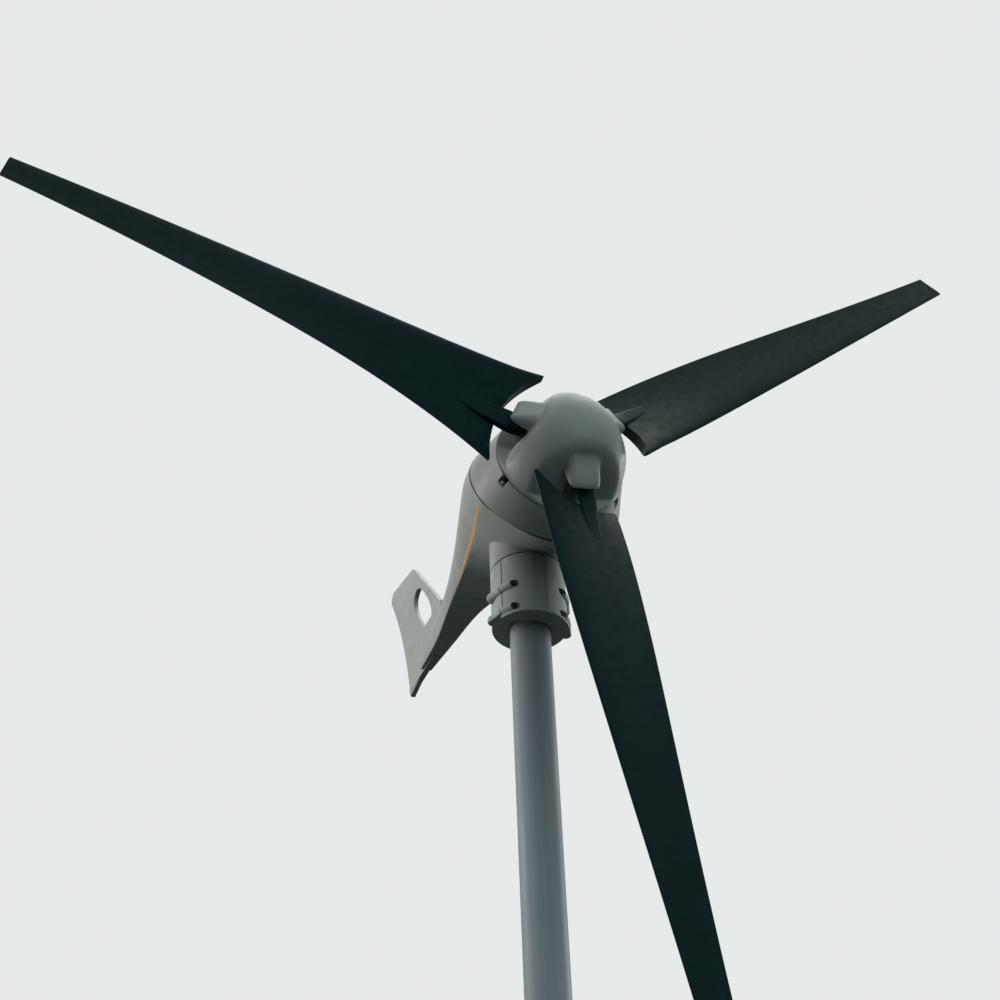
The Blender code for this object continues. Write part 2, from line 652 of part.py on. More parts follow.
def build_spring(name, height, start, end, nacelle, steel):
    turns = 4
    steps = 6
    points = []
    for i in range(turns * steps + 1):
        x, z = polar(0.0022, 360 / steps * i)
        points.append((x, start + (end - start) * i / (turns * steps), height + z))
    curve = bpy.data.curves.new(name, "CURVE")
    curve.dimensions = "3D"
    curve.bevel_depth = 0.0003
    curve.bevel_resolution = 0
    curve.use_fill_caps = True
    line = curve.splines.new("POLY")
    line.points.add(len(points) - 1)
    for point, place in zip(line.points, points):
        point.co = (*place, 1)
    finish(as_mesh(make_object(name, curve)), steel, nacelle)


def build_controller(nacelle, board_green, black, alloy, jacket):
    finish(box("controller_board", (0.0320, 0.0540, 0.0016), (0, 0.0790, 0.1790)), board_green, nacelle, 0)
    profile = [(0, 0.011), (0.0058, 0.011), (0.0064, 0.0104), (0.0064, -0.011), (0, -0.011)]
    finish(turned("board_capacitor", profile, (-0.007, 0.086, 0.1867), AHEAD, 20), black, nacelle)
    rectifier = box("rectifier_block", (0.0260, 0.0260, 0.0090), (0, 0.0750, 0.1700))
    cut(rectifier, cylinder("mounting_hole", 0.0022, -0.02, 0.02, (0, 0.0750, 0.1700), sides=12))
    bevel(rectifier, 0.0006)
    finish(rectifier, alloy, nacelle, 0)
    points = [(0.024, -0.0440, 0.158), (0.024, -0.0200, 0.158), (0.024, 0.030, 0.184),
              (0.0125, 0.052, 0.1865), (0.009, 0.064, 0.1845)]
    finish(wire("stator_cable", points, 0.0022), jacket, nacelle)


# ---- alternator ----
def stator_outline():
    """The bore of the stator core, with a slot between each pair of teeth."""
    pitch = 360 / SLOTS
    bottom = STATOR_RADIUS - 0.0065
    outline = []
    for slot in range(SLOTS):
        centre = pitch * slot
        outline.append(polar(STATOR_BORE, centre - pitch * 0.38))
        outline.append(polar(STATOR_BORE, centre - pitch * 0.22))
        outline.append(polar(bottom, centre - pitch * 0.28))
        outline.append(polar(bottom, centre))
        outline.append(polar(bottom, centre + pitch * 0.28))
        outline.append(polar(STATOR_BORE, centre + pitch * 0.22))
        outline.append(polar(STATOR_BORE, centre + pitch * 0.38))
    return outline


def build_stator(nacelle, lamination, copper):
    rear, front = ALTERNATOR
    middle = (rear + front) / 2
    outer = [polar(STATOR_RADIUS, 360 / 48 * i) for i in range(48)]
    core = plate("stator_core", [outer, stator_outline()], front - rear, on_rotor_axis(middle), AHEAD)
    finish(core, lamination, nacelle)
    bottom = STATOR_RADIUS - 0.0065 - GAP
    inner = STATOR_BORE + 0.002
    low = rear - END_TURN
    winding = ring("stator_winding", bottom, inner, low, rear - GAP, (0, 0, ROTOR_HEIGHT), AHEAD, 24)
    join(winding, ring("front_turns", bottom, inner, front + GAP, front + END_TURN - 0.0005,
                       (0, 0, ROTOR_HEIGHT), AHEAD, 24))
    bars = bmesh.new()
    for slot in range(SLOTS):
        x, z = polar((bottom + inner) / 2, 360 / SLOTS * slot)
        made = bmesh.ops.create_cube(bars, size=1.0)["verts"]
        bmesh.ops.scale(bars, verts=made, vec=(bottom - inner - 0.001, 0.0082, front - rear + END_TURN))
        bmesh.ops.rotate(bars, verts=made, matrix=Matrix.Rotation(math.radians(360 / SLOTS * slot), 3, "Z"))
        bmesh.ops.translate(bars, verts=made, vec=(x, z, middle))
    join(winding, from_bmesh("slot_bars", bars, (0, 0, ROTOR_HEIGHT), AHEAD))
    finish(winding, copper, nacelle)


def build_bearing(label, rear, nacelle, cage_axis, rotor, race_steel, brass):
    """A ball bearing as outer race, inner race, and the balls with their cage as one piece."""
    place = (0, 0, ROTOR_HEIGHT)
    front = rear + BEARING_WIDTH
    middle = rear + BEARING_WIDTH / 2
    pitch = 0.0132
    outer_track = [(BEARING_OUTER, front), (BEARING_OUTER, rear), (0.0152, rear), (0.0152, middle - 0.002),
                   (0.0160, middle), (0.0152, middle + 0.002), (0.0152, front)]
    outer_race = turned(f"{label}_bearing_outer", outer_track, place, AHEAD, 20, closed=True)
    finish(outer_race, race_steel, nacelle)
    inner_track = [(0.0112, front), (0.0112, middle + 0.002), (0.0104, middle), (0.0112, middle - 0.002),
                   (0.0112, rear), (SHAFT_RADIUS + GAP, rear), (SHAFT_RADIUS + GAP, front)]
    inner_race = turned(f"{label}_bearing_inner", inner_track, place, AHEAD, 20, closed=True)
    finish(inner_race, race_steel, rotor)
    cage = ring(f"{label}_ball_cage", pitch + 0.0010, pitch - 0.0010, middle - 0.0032, middle + 0.0032,
                place, AHEAD, 14)
    balls = bmesh.new()
    for number in range(BALLS):
        x, z = polar(pitch, 360 / BALLS * number + 3)
        made = bmesh.ops.create_uvsphere(balls, u_segments=7, v_segments=4, radius=BALL_RADIUS)["verts"]
        bmesh.ops.translate(balls, verts=made, vec=(x, z, middle))
    join(cage, from_bmesh("balls", balls, place, AHEAD))
    finish(cage, brass, cage_axis)


# ---- rotor ----
def build_rotor(rotor, steel, magnet_metal, iron, alloy, zinc, composite, paint):
    place = (0, 0, ROTOR_HEIGHT)
    rear, front = ALTERNATOR
    profile = [
        (0, SHAFT_FRONT), (0.0070, SHAFT_FRONT), (0.0075, SHAFT_FRONT - 0.0005),
        (0.0075, HUB_PLATE[0] - 0.001), (SHAFT_RADIUS, HUB_PLATE[0] - 0.001),
        (SHAFT_RADIUS, SHAFT_REAR + 0.001),
        (SHAFT_RADIUS - 0.001, SHAFT_REAR), (0, SHAFT_REAR),
    ]
    finish(turned("rotor_shaft", profile, place, AHEAD, 32), steel, rotor)
    core = ring("magnet_core", MAGNET_CORE_RADIUS, SHAFT_RADIUS + GAP, rear, front, place, AHEAD, 32)
    finish(core, iron, rotor)
    build_magnets(rotor, magnet_metal)
    hub = ring("hub_plate", HUB_RADIUS, 0.0075 + GAP, HUB_PLATE[0], HUB_PLATE[1], place, AHEAD, 48)
    for angle in BLADE_ANGLES:
        for reach in BLADE_SCREW_REACH:
            cut(hub, cylinder("thread", 0.0021 + GAP, 0.10, 0.14, along_blade(angle, reach, 0), AHEAD, 12))
    finish(hub, alloy, rotor)
    nut = cylinder("hub_nut", 0.0115, 0.1218, 0.1318, place, AHEAD, 6)
    cut(nut, cylinder("nut_bore", 0.0075 + GAP, 0.11, 0.15, place, AHEAD, 32))
    finish(nut, zinc, rotor, 0)
    build_blades(rotor, composite, zinc)
    build_nose(rotor, paint)


def build_magnets(rotor, magnet_metal):
    """Arc magnets round the core, each a separate piece."""
    rear, front = ALTERNATOR
    reach = 360 / MAGNETS / 2 - 4
    outer = MAGNET_RADIUS
    inner = MAGNET_CORE_RADIUS + GAP
    steps = 10
    for number in range(MAGNETS):
        centre = 360 / MAGNETS * number
        arc = [centre - reach + 2 * reach * i / steps for i in range(steps + 1)]
        outline = [polar(outer, angle) for angle in arc] + [polar(inner, angle) for angle in reversed(arc)]
        magnet = plate(f"magnet_{number + 1}", [outline], front - rear - 0.001,
                       on_rotor_axis((front + rear) / 2), AHEAD)
        finish(magnet, magnet_metal, rotor)


def along_blade(angle, reach, ahead, lead=0.0):
    """A point out along a blade, in the world. lead is a step towards the blade's leading edge."""
    turn = math.radians(angle)
    return (reach * math.sin(turn) + lead * math.cos(turn), -ahead,
            ROTOR_HEIGHT + reach * math.cos(turn) - lead * math.sin(turn))


def blade_section(reach):
    """An aerofoil at a distance from the rotor axis: X to the leading edge, -Y ahead, Z outward."""
    part = (reach - 0.070) / (ROTOR_RADIUS - 0.070)
    lead = 0.0485 - 0.0343 * max(part, 0) ** 1.15
    lead += ROOT_FLARE * ease((ROOT_FLARE_END - reach) / ROOT_FLARE_LENGTH)
    trail = -0.0141 - 0.0273 * (1 - part) ** 1.75
    twist = math.radians(1.5 + 20 * (1 - part) ** 4.5)
    if part < 0.4:
        middle = 0.005 - 0.0085 * (1 - part / 0.4) ** 2
    else:
        middle = 0.005 - 0.006 * ((part - 0.4) / 0.6) ** 2
    chord = (lead - trail) / math.cos(twist)
    thickness = 0.115 - 0.02 * part
    upper = []
    lower = []
    for i in range(AEROFOIL_STEPS + 1):
        along = 0.5 - 0.5 * math.cos(HALF_TURN * i / AEROFOIL_STEPS)
        half = 5 * thickness * (0.2969 * math.sqrt(along) - 0.1260 * along - 0.3516 * along ** 2
                                + 0.2843 * along ** 3 - 0.0950 * along ** 4)
        camber = 0.12 * along * (1 - along)
        upper.append((along, camber + half))
        lower.append((along, camber - half))
    outline = upper + lower[-1:0:-1]
    points = []
    for along, height in outline:
        x = (0.5 - along) * chord
        y = height * chord
        points.append(((lead + trail) / 2 + x * math.cos(twist) + y * math.sin(twist),
                       -middle - x * math.sin(twist) + y * math.cos(twist), reach))
    return points


def build_blades(rotor, composite, zinc):
    start = 0.040
    reaches = [start + (ROTOR_RADIUS - start) * (i / 10) ** 1.5 for i in range(11)]
    blade = loft("blade", [blade_section(reach) for reach in reaches])
    arc_centre = (ROOT_CUT_LEAD, 0, ROOT_CUT_REACH)
    cut(blade, cylinder("root_arc", ROOT_CUT_RADIUS, -0.08, 0.08, arc_centre, AHEAD, 48))
    cut(blade, box("tip_trim", (0.08, 0.08, 0.02), (-0.004, 0, 0.5926), (0, math.radians(-10), 0)))
    root = []
    # reach, half-width, half-thickness, step back from the blade plane, twist in degrees
    root_rows = ((0.015, 0.0090, 0.0055, 0.0, 0), (0.036, 0.0110, 0.0055, 0.0, 0),
                 (0.060, 0.0105, 0.0045, 0.0040, 12), (0.086, 0.0090, 0.0030, 0.0040, 17))
    for reach, half_width, thick, back, twist in root_rows:
        lean = math.radians(twist)
        corners = ((1, 1), (1, -1), (-1, -1), (-1, 1))
        section = []
        for across, through in corners:
            x = across * half_width
            y = through * thick
            section.append((BLADE_ROOT_OFFSET + x * math.cos(lean) + y * math.sin(lean),
                            back - x * math.sin(lean) + y * math.cos(lean), reach))
        root.append(section)
    join(blade, loft("blade_root", root))
    for reach in BLADE_SCREW_REACH:
        cut(blade, cylinder("screw_hole", 0.0021 + GAP, -0.02, 0.02, (0, 0, reach), AHEAD, 12))
    mesh = baked(blade)
    for number, angle in enumerate(BLADE_ANGLES):
        made = make_object(f"blade_{number + 1}", mesh.copy(), on_rotor_axis(HUB_AHEAD),
                           (0, math.radians(angle), 0))
        finish(made, composite, rotor)
    number = 0
    front = HUB_AHEAD + NECK_HALF_THICKNESS
    profile = [(0, front + 0.0030), (0.0038, front + 0.0030), (0.0038, front), (0.0021, front),
               (0.0021, HUB_PLATE[0] + 0.0005), (0, HUB_PLATE[0] + 0.0005)]
    for angle in BLADE_ANGLES:
        for reach in BLADE_SCREW_REACH:
            number += 1
            screw = turned(f"blade_screw_{number}", profile, along_blade(angle, reach, 0), AHEAD, 12)
            finish(screw, zinc, rotor)


def ease(part):
    """Rises smoothly from 0 to 1 as part goes from 0 to 1."""
    part = min(max(part, 0.0), 1.0)
    return part * part * (3 - 2 * part)


def soft_least(first, second, reach):
    """The lesser of two numbers, rounded off where they differ by less than reach."""
    share = min(max(0.5 + 0.5 * (second - first) / reach, 0.0), 1.0)
    return second * (1 - share) + first * share - reach * share * (1 - share)


def off_blade(angle, blade):
    """Degrees from a blade's centre line, between -180 and 180."""
    return (angle - blade + 180) % 360 - 180


def nose_radius(angle, ahead, shell=0.0):
    """The nose's radius at an angle clockwise from up: a dome with a flat and a hood over each blade.

    With a shell it is the inner face, which has no hoods.
    """
    past = ahead - RIM_AHEAD + shell
    along = past / NOSE_LENGTH
    radius = (RIM_RADIUS - RIM_LIP) * math.sqrt(max(1 - along * along, 0))
    radius += RIM_LIP * math.exp(-max(past, 0) / RIM_FLARE)
    flat = FLAT_DISTANCE - FLAT_TAPER * (past - FLAT_RAMP) + FLAT_STEP * (1 - ease(past / FLAT_RAMP))
    for blade in BLADE_ANGLES:
        lean = math.cos(math.radians(off_blade(angle, blade)))
        if lean > 0.15:
            radius = soft_least(radius, flat / lean, FLAT_BLEND)
    if shell or ahead < HOOD_REAR:
        return radius - shell
    for blade in BLADE_ANGLES:
        off = abs(off_blade(angle, blade))
        share = 1 - ease((ahead - HOOD_REAR) / HOOD_LENGTH)
        share *= 1 - ease((off - HOOD_HALF_ANGLE) / HOOD_FADE_ANGLE)
        if share > 0:
            radius += max(HOOD_REACH / math.cos(math.radians(off)) - radius, 0) * share
    return radius


def nose_section(ahead, shell=0.0):
    points = []
    for i in range(NOSE_SIDES):
        angle = FIRST_BLADE_ANGLE + 360 / NOSE_SIDES * i
        x, z = polar(nose_radius(angle, ahead, shell), 90 - angle)
        points.append((x, -ahead, ROTOR_HEIGHT + z))
    return points


def build_nose(rotor, paint):
    """A thin dome with three slots open to the rear, one for each blade root."""
    rise = 0.0006
    ramp = [FLAT_RAMP * i / 3 for i in range(4)]
    hood = [HOOD_REAR - RIM_AHEAD - 0.0001, HOOD_REAR - RIM_AHEAD + rise]
    cap = [NOSE_LENGTH * math.sin(math.radians(angle)) for angle in (10, 20, 32, 40, 50, 60, 70, 80, 88)]
    nose = loft("nose_cone", [nose_section(RIM_AHEAD + past) for past in sorted(ramp + hood + cap)])
    room = [-0.004] + [past - NOSE_SHELL for past in ramp + cap[:-1]]
    cut(nose, loft("nose_room", [nose_section(RIM_AHEAD + past, NOSE_SHELL) for past in room]))
    for angle in BLADE_ANGLES:
        length = 0.042
        centre = along_blade(angle, 0.060, SLOT_FRONT - length / 2, BLADE_ROOT_OFFSET)
        cut(nose, box("blade_slot", (SLOT_WIDTH, length, 0.0500), centre, (0, math.radians(angle), 0)))
    finish(nose, paint, rotor)


# ---- assembly ----
def build_all():
    paint = make_material("body_paint", (0.42, 0.44, 0.43), 0.45, 0.1)
    casting = make_material("cast_paint", (0.38, 0.40, 0.39), 0.5, 0.1)
    mast_steel = make_material("mast_steel", (0.30, 0.34, 0.37), 0.5, 0.6)
    steel = make_material("ground_steel", (0.55, 0.55, 0.56), 0.3, 1.0)
    zinc = make_material("zinc_screw", (0.6, 0.6, 0.58), 0.35, 1.0)
    race = make_material("bearing_steel", (0.62, 0.63, 0.65), 0.2, 1.0)
    brass = make_material("cage_brass", (0.72, 0.55, 0.28), 0.35, 1.0)
    bronze = make_material("bush_bronze", (0.60, 0.42, 0.22), 0.45, 1.0)
    rubber = make_material("seal_rubber", (0.03, 0.03, 0.03), 0.8, 0.0)
    plastic = make_material("moulded_plastic", (0.05, 0.05, 0.055), 0.55, 0.0)
    carbon = make_material("brush_carbon", (0.06, 0.06, 0.065), 0.6, 0.2)
    copper = make_material("bare_copper", (0.75, 0.38, 0.22), 0.35, 1.0)
    lamination = make_material("stator_steel", (0.30, 0.30, 0.32), 0.5, 0.9)
    magnet_metal = make_material("magnet_nickel", (0.65, 0.65, 0.63), 0.3, 1.0)
    iron = make_material("core_iron", (0.25, 0.25, 0.26), 0.6, 0.9)
    alloy = make_material("bare_alloy", (0.70, 0.71, 0.72), 0.4, 1.0)
    board_green = make_material("circuit_board", (0.05, 0.22, 0.10), 0.5, 0.0)
    black = make_material("capacitor_sleeve", (0.03, 0.03, 0.05), 0.4, 0.0)
    composite = make_material("blade_composite", (0.012, 0.016, 0.018), 0.4, 0.0)
    jackets = [("mast_wire_red", make_material("red_jacket", (0.55, 0.03, 0.03), 0.5, 0.0)),
               ("mast_wire_black", make_material("black_jacket", (0.02, 0.02, 0.02), 0.5, 0.0))]

    fixed = make_empty("mast_axis", (0, 0, 0))
    nacelle = make_empty("yaw_axis", (0, 0, 0), fixed)
    rotor = make_empty("rotor_axis", on_rotor_axis(HUB_AHEAD), nacelle)
    brushes = [make_empty(f"brush_slide_{number + 1}", (0, 0.022, height), nacelle)
               for number, height in enumerate(SLIP_RING_HEIGHTS)]
    front_cage = make_empty("front_cage_axis", on_rotor_axis(FRONT_BEARING), nacelle)
    rear_cage = make_empty("rear_cage_axis", on_rotor_axis(REAR_BEARING), nacelle)

    build_mast(fixed, mast_steel, casting, zinc)
    build_yaw_shaft(fixed, steel, plastic, copper, zinc)
    build_mast_wires(fixed, jackets)
    build_nacelle(nacelle, paint, zinc)
    build_face(nacelle, paint, zinc)
    build_tail(nacelle, paint, zinc)
    build_yaw_bearings(nacelle, bronze, rubber)
    build_brush_gear(nacelle, brushes, plastic, carbon, steel)
    build_controller(nacelle, board_green, black, alloy, plastic)
    build_stator(nacelle, lamination, copper)
    build_bearing("front", FRONT_BEARING, nacelle, front_cage, rotor, race, brass)
    build_bearing("rear", REAR_BEARING, nacelle, rear_cage, rotor, race, brass)
    build_rotor(rotor, steel, magnet_metal, iron, alloy, zinc, composite, paint)


def stand_on_foot():
    """Lift everything so that the mast's foot is at the origin."""
    for item in list(PARTS.objects) + list(TOOLS.objects):
        if item.parent is None:
            item.location.z += CLAMP_HEIGHT


clear_scene()
PARTS = new_collection("small_wind_turbine")
TOOLS = new_collection("cutting_tools")
build_all()
stand_on_foot()
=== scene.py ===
"""Looks for the small wind turbine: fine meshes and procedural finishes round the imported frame.

Lengths are metres. "Ahead" is a distance in front of the yaw axis, towards the nose, and "rise" is a
height above the clamp's underside.
"""
import json
import math

import bmesh
import bpy
from mathutils import Matrix, Vector


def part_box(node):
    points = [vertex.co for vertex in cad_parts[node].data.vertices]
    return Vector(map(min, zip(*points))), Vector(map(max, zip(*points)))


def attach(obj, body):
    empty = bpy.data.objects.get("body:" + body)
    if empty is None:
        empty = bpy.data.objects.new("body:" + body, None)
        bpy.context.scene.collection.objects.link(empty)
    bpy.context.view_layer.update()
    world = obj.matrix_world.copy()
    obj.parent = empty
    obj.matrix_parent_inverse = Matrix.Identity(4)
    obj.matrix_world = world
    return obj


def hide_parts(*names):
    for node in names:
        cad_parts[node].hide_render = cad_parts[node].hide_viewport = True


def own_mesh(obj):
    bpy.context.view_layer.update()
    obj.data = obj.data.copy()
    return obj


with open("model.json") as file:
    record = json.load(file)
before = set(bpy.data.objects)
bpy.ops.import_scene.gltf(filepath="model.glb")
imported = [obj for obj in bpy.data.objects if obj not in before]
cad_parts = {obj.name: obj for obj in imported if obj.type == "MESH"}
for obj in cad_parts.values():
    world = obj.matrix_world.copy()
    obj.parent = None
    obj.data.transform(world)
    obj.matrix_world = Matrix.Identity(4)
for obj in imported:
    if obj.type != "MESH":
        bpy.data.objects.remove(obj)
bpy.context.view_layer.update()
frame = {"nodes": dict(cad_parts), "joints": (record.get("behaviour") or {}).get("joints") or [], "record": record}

# ---- places read from the frame ----
JOINTS = {joint["name"]: joint for joint in frame["joints"]}
CLAMP_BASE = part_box("clamp_half_front")[0].z
HUB = Vector(JOINTS["rotor_spin"]["pos_m"])
AXIS_RISE = HUB.z - CLAMP_BASE
HUB_AHEAD = -HUB.y
MAST_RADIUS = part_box("mast_tube")[1].x
MAST_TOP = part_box("mast_tube")[1].z
ROTOR_RADIUS = 0.585

# ---- driving sizes, as in the frame ----
GAP = 0.0003
MAST_WALL = 0.0025
FIRST_BLADE_ANGLE = -68.7
BLADE_ANGLES = [FIRST_BLADE_ANGLE + 120 * number for number in range(3)]
BLADE_SCREW_REACH = (0.0205, 0.0295)
BLADE_ROOT_OFFSET = -0.004
ROOT_CUT_RADIUS = 0.0667       # arc the blade's root is cut to, and its centre
ROOT_CUT_LEAD = -0.0016
ROOT_CUT_REACH = 0.0050
ROOT_FLARE = 0.0025            # extra leading edge at the root
ROOT_LEAD_EDGE = 0.0511
ROOT_TRAIL_EDGE = -0.0424
ROOT_LEAD_ROUND = 0.0020
ROOT_TRAIL_ROUND = 0.0025
HUB_PLATE = (0.1155, 0.1215)
HUB_RADIUS = 0.034
SHAFT_FIT = 0.0078

NECK_RADIUS = 0.0355
NECK_BOTTOM = 0.071
CLAMP_TOP = 0.070
FLANGE_THICKNESS = 0.0035
FLANGE_RADIUS = 0.0374
REAR_HALF_BOTTOM = 0.006
CLAMP_SPLIT = 0.0012
SPLIT_AHEAD = 0.0157
CLAMP_SCREW_X = 0.0235
CLAMP_SCREW_RISES = (0.0088, 0.035)
CLAMP_SCREW_SEAT = 0.0215
CLAMP_SCREW_LENGTH = 0.0210
RIB_RADIUS = 0.0058
RIB_RING = 0.0324
RIB_SWELL = 0.0030           # the ribs stand out further over their rear RIB_SWELL_ANGLE
RIB_SWELL_ANGLE = 18
RIB_SPREAD = (0, 44)         # degrees ahead of straight sideways
STRIP_WIDTH = 0.0125         # shallow flat down the front of the neck and the clamp
STRIP_DISTANCE = 0.0344      # how far ahead of the yaw axis that flat is

RIM_AHEAD = 0.1025
RIM_RADIUS = 0.0625
RIM_LIP = 0.0025
RIM_FLARE = 0.004
NOSE_LENGTH = 0.07199
NOSE_SHELL = 0.0025
FLAT_DISTANCE = 0.046
FLAT_TAPER = 0.24
FLAT_RAMP = 0.0045
FLAT_STEP = 0.018
FLAT_BLEND = 0.007
SLOT_WIDTH = 0.029
SLOT_FRONT = 0.135
HOOD_REAR = 0.1359
HOOD_REACH = 0.060
HOOD_LENGTH = 0.020
HOOD_HALF_ANGLE = 10
HOOD_FADE_ANGLE = 16

STATOR_ROOM_RADIUS = 0.0543
BEARING_SEAT_RADIUS = 0.0178
SHAFT_WAY_RADIUS = 0.0125

FACE_AHEAD = 0.1015
FACE_SCREW_ANGLES = (90, 210, 330)
FACE_SCREW_RING = 0.060
FACE_NOTCH_DEPTH = 0.0095
NOTCH_RADIUS = 0.0045
SEAM_AHEAD = 0.0586
SEAM_RADIUS = 0.075
SEAM_TILT = 0.23

FIN_THICKNESS = 0.006
TAIL_SCREWS = ((0.304, 0.2085), (0.330, 0.2085))
TAIL_HEAD_SEAT = 0.0055

HALF_TURN = math.pi
QUARTER = math.pi / 2
FORWARD = (QUARTER, 0.0, 0.0)      # turns local +Z to point ahead, along -Y
SIDEWAYS = (0.0, QUARTER, 0.0)     # turns local +Z to point along +X

# Each row: place along Y, lower edge half-width and rise, depth of the belly below that edge,
# greatest half-width and its rise, top rise, lean of the section.
BODY_ROWS = (
    (-0.0586, 0.0660, 0.0910, 0.0400, 0.0750, 0.1260, 0.2010, SEAM_TILT),
    (-0.0200, 0.0575, 0.1060, 0.0340, 0.0690, 0.1430, 0.2080, 0.20),
    (0.0200, 0.0468, 0.1215, 0.0250, 0.0595, 0.1570, 0.2130, 0.15),
    (0.0700, 0.0370, 0.1380, 0.0100, 0.0475, 0.1700, 0.2170, 0.07),
    (0.1200, 0.0286, 0.1529, 0.0010, 0.0360, 0.1800, 0.2200, 0.0),
    (0.2000, 0.0173, 0.1762, 0.0006, 0.0205, 0.1940, 0.2240, 0.0),
    (0.2700, 0.0103, 0.1848, 0.0004, 0.0122, 0.2040, 0.2280, 0.0),
    (0.3470, 0.0062, 0.1995, 0.0003, 0.0068, 0.2080, 0.2160, 0.0),
)


# ---- small helpers ----
def ease(part):
    part = min(max(part, 0.0), 1.0)
    return part * part * (3 - 2 * part)


def soft_least(first, second, reach):
    share = min(max(0.5 + 0.5 * (second - first) / reach, 0.0), 1.0)
    return second * (1 - share) + first * share - reach * share * (1 - share)


def polar(radius, degrees):
    angle = math.radians(degrees)
    return radius * math.cos(angle), radius * math.sin(angle)


def off_blade(angle, blade):
    return (angle - blade + 180) % 360 - 180


def raised(x, y, rise):
    return (x, y, CLAMP_BASE + rise)


def rounded(corners, steps=5):
    """Points along a line of (x, y, fillet radius) corners, with each fillet as an arc."""
    points = []
    for i, (x, y, radius) in enumerate(corners):
        here = Vector((x, y))
        if radius <= 0 or i in (0, len(corners) - 1):
            points.append((x, y))
            continue
        back = (Vector(corners[i - 1][:2]) - here).normalized()
        on = (Vector(corners[i + 1][:2]) - here).normalized()
        half = back.angle(on) / 2
        middle = here + (back + on).normalized() * radius / math.sin(half)
        start = here + back * radius / math.tan(half) - middle
        turn = (HALF_TURN - 2 * half) * (1 if back.cross(on) < 0 else -1)
        for k in range(steps + 1):
            spot = middle + Matrix.Rotation(turn * k / steps, 2) @ start
            points.append((spot.x, spot.y))
    return points


# ---- meshes ----
def add(name, shape, place=(0, 0, 0), turn=(0, 0, 0)):
    """A new object from a bmesh."""
    bmesh.ops.recalc_face_normals(shape, faces=shape.faces)
    mesh = bpy.data.meshes.new(name)
    shape.to_mesh(mesh)
    shape.free()
    item = bpy.data.objects.new(name, mesh)
    item.location = place
    item.rotation_euler = turn
    bpy.context.scene.collection.objects.link(item)
    return item


def skin(name, rows, place=(0, 0, 0), turn=(0, 0, 0), looped=False):
    """A closed surface through rows of points round the shape. A row of one point is a pole."""
    shape = bmesh.new()
    made = [[shape.verts.new(point) for point in row] for row in rows]
    pairs = list(zip(made, made[1:])) + ([(made[-1], made[0])] if looped else [])
    for low, high in pairs:
        count = max(len(low), len(high))
        for i in range(count):
            j = (i + 1) % count
            corners = []
            for row, index in ((low, i), (low, j), (high, j), (high, i)):
                vert = row[index % len(row)]
                if vert not in corners:
                    corners.append(vert)
            shape.faces.new(corners)
    if not looped:
        for row in (made[0], made[-1]):
            if len(row) > 2:
                shape.faces.new(row)
    return add(name, shape, place, turn)


def revolve(name, profile, place=(0, 0, 0), turn=(0, 0, 0), sides=96, looped=False):
    """A profile of (radius, height) turned about local Z."""
    rows = []
    for radius, height in profile:
        if radius < 1e-7:
            rows.append([(0, 0, height)])
        else:
            rows.append([(*polar(radius, 360 / sides * i), height) for i in range(sides)])
    return skin(name, rows, place, turn, looped)


def rod(name, radius, low, high, place=(0, 0, 0), turn=(0, 0, 0), sides=64):
    return revolve(name, [(0, low), (radius, low), (radius, high), (0, high)], place, turn, sides)


def block(name, size, centre, turn=(0, 0, 0)):
    shape = bmesh.new()
    bmesh.ops.create_cube(shape, size=1.0)
    bmesh.ops.scale(shape, verts=shape.verts, vec=size)
    return add(name, shape, centre, turn)


def slab(name, outlines, thickness, edge=0.0, place=(0, 0, 0), turn=(0, 0, 0)):
    """A flat plate from outlines of (x, y) with rounded edges. Later outlines are holes."""
    curve = bpy.data.curves.new(name, "CURVE")
    curve.dimensions = "2D"
    curve.fill_mode = "BOTH"
    curve.extrude = thickness / 2 - edge
    curve.bevel_depth = edge
    curve.bevel_resolution = 3
    curve.offset = -edge
    for outline in outlines:
        line = curve.splines.new("POLY")
        line.points.add(len(outline) - 1)
        for point, (x, y) in zip(line.points, outline):
            point.co = (x, y, 0, 1)
        line.use_cyclic_u = True
    item = bpy.data.objects.new(name, curve)
    item.location = place
    item.rotation_euler = turn
    bpy.context.scene.collection.objects.link(item)
    return settle(item)


def settle(item):
    """Swap an item for a plain mesh of itself in world coordinates, modifiers and all."""
    bpy.context.view_layer.update()
    view = bpy.context.evaluated_depsgraph_get()
    mesh = bpy.data.meshes.new_from_object(item.evaluated_get(view))
    mesh.transform(item.matrix_world)
    shape = bmesh.new()
    shape.from_mesh(mesh)
    bmesh.ops.remove_doubles(shape, verts=shape.verts, dist=0.000002)
    bmesh.ops.recalc_face_normals(shape, faces=shape.faces)
    name = item.name
    bpy.data.objects.remove(item, do_unlink=True)
    bpy.data.meshes.remove(mesh)
    return add(name, shape)


def shape_with(item, joins=(), cuts=(), keeps=()):
    """Join, cut or keep an item's overlap with others, which are then removed."""
    for tools, operation in ((joins, "UNION"), (cuts, "DIFFERENCE"), (keeps, "INTERSECT")):
        for tool in tools:
            step = item.modifiers.new(operation.lower(), "BOOLEAN")
            step.operation = operation
            step.solver = "EXACT"
            step.object = tool
    made = settle(item)
    for tool in (*joins, *cuts, *keeps):
        bpy.data.objects.remove(tool, do_unlink=True)
    return made


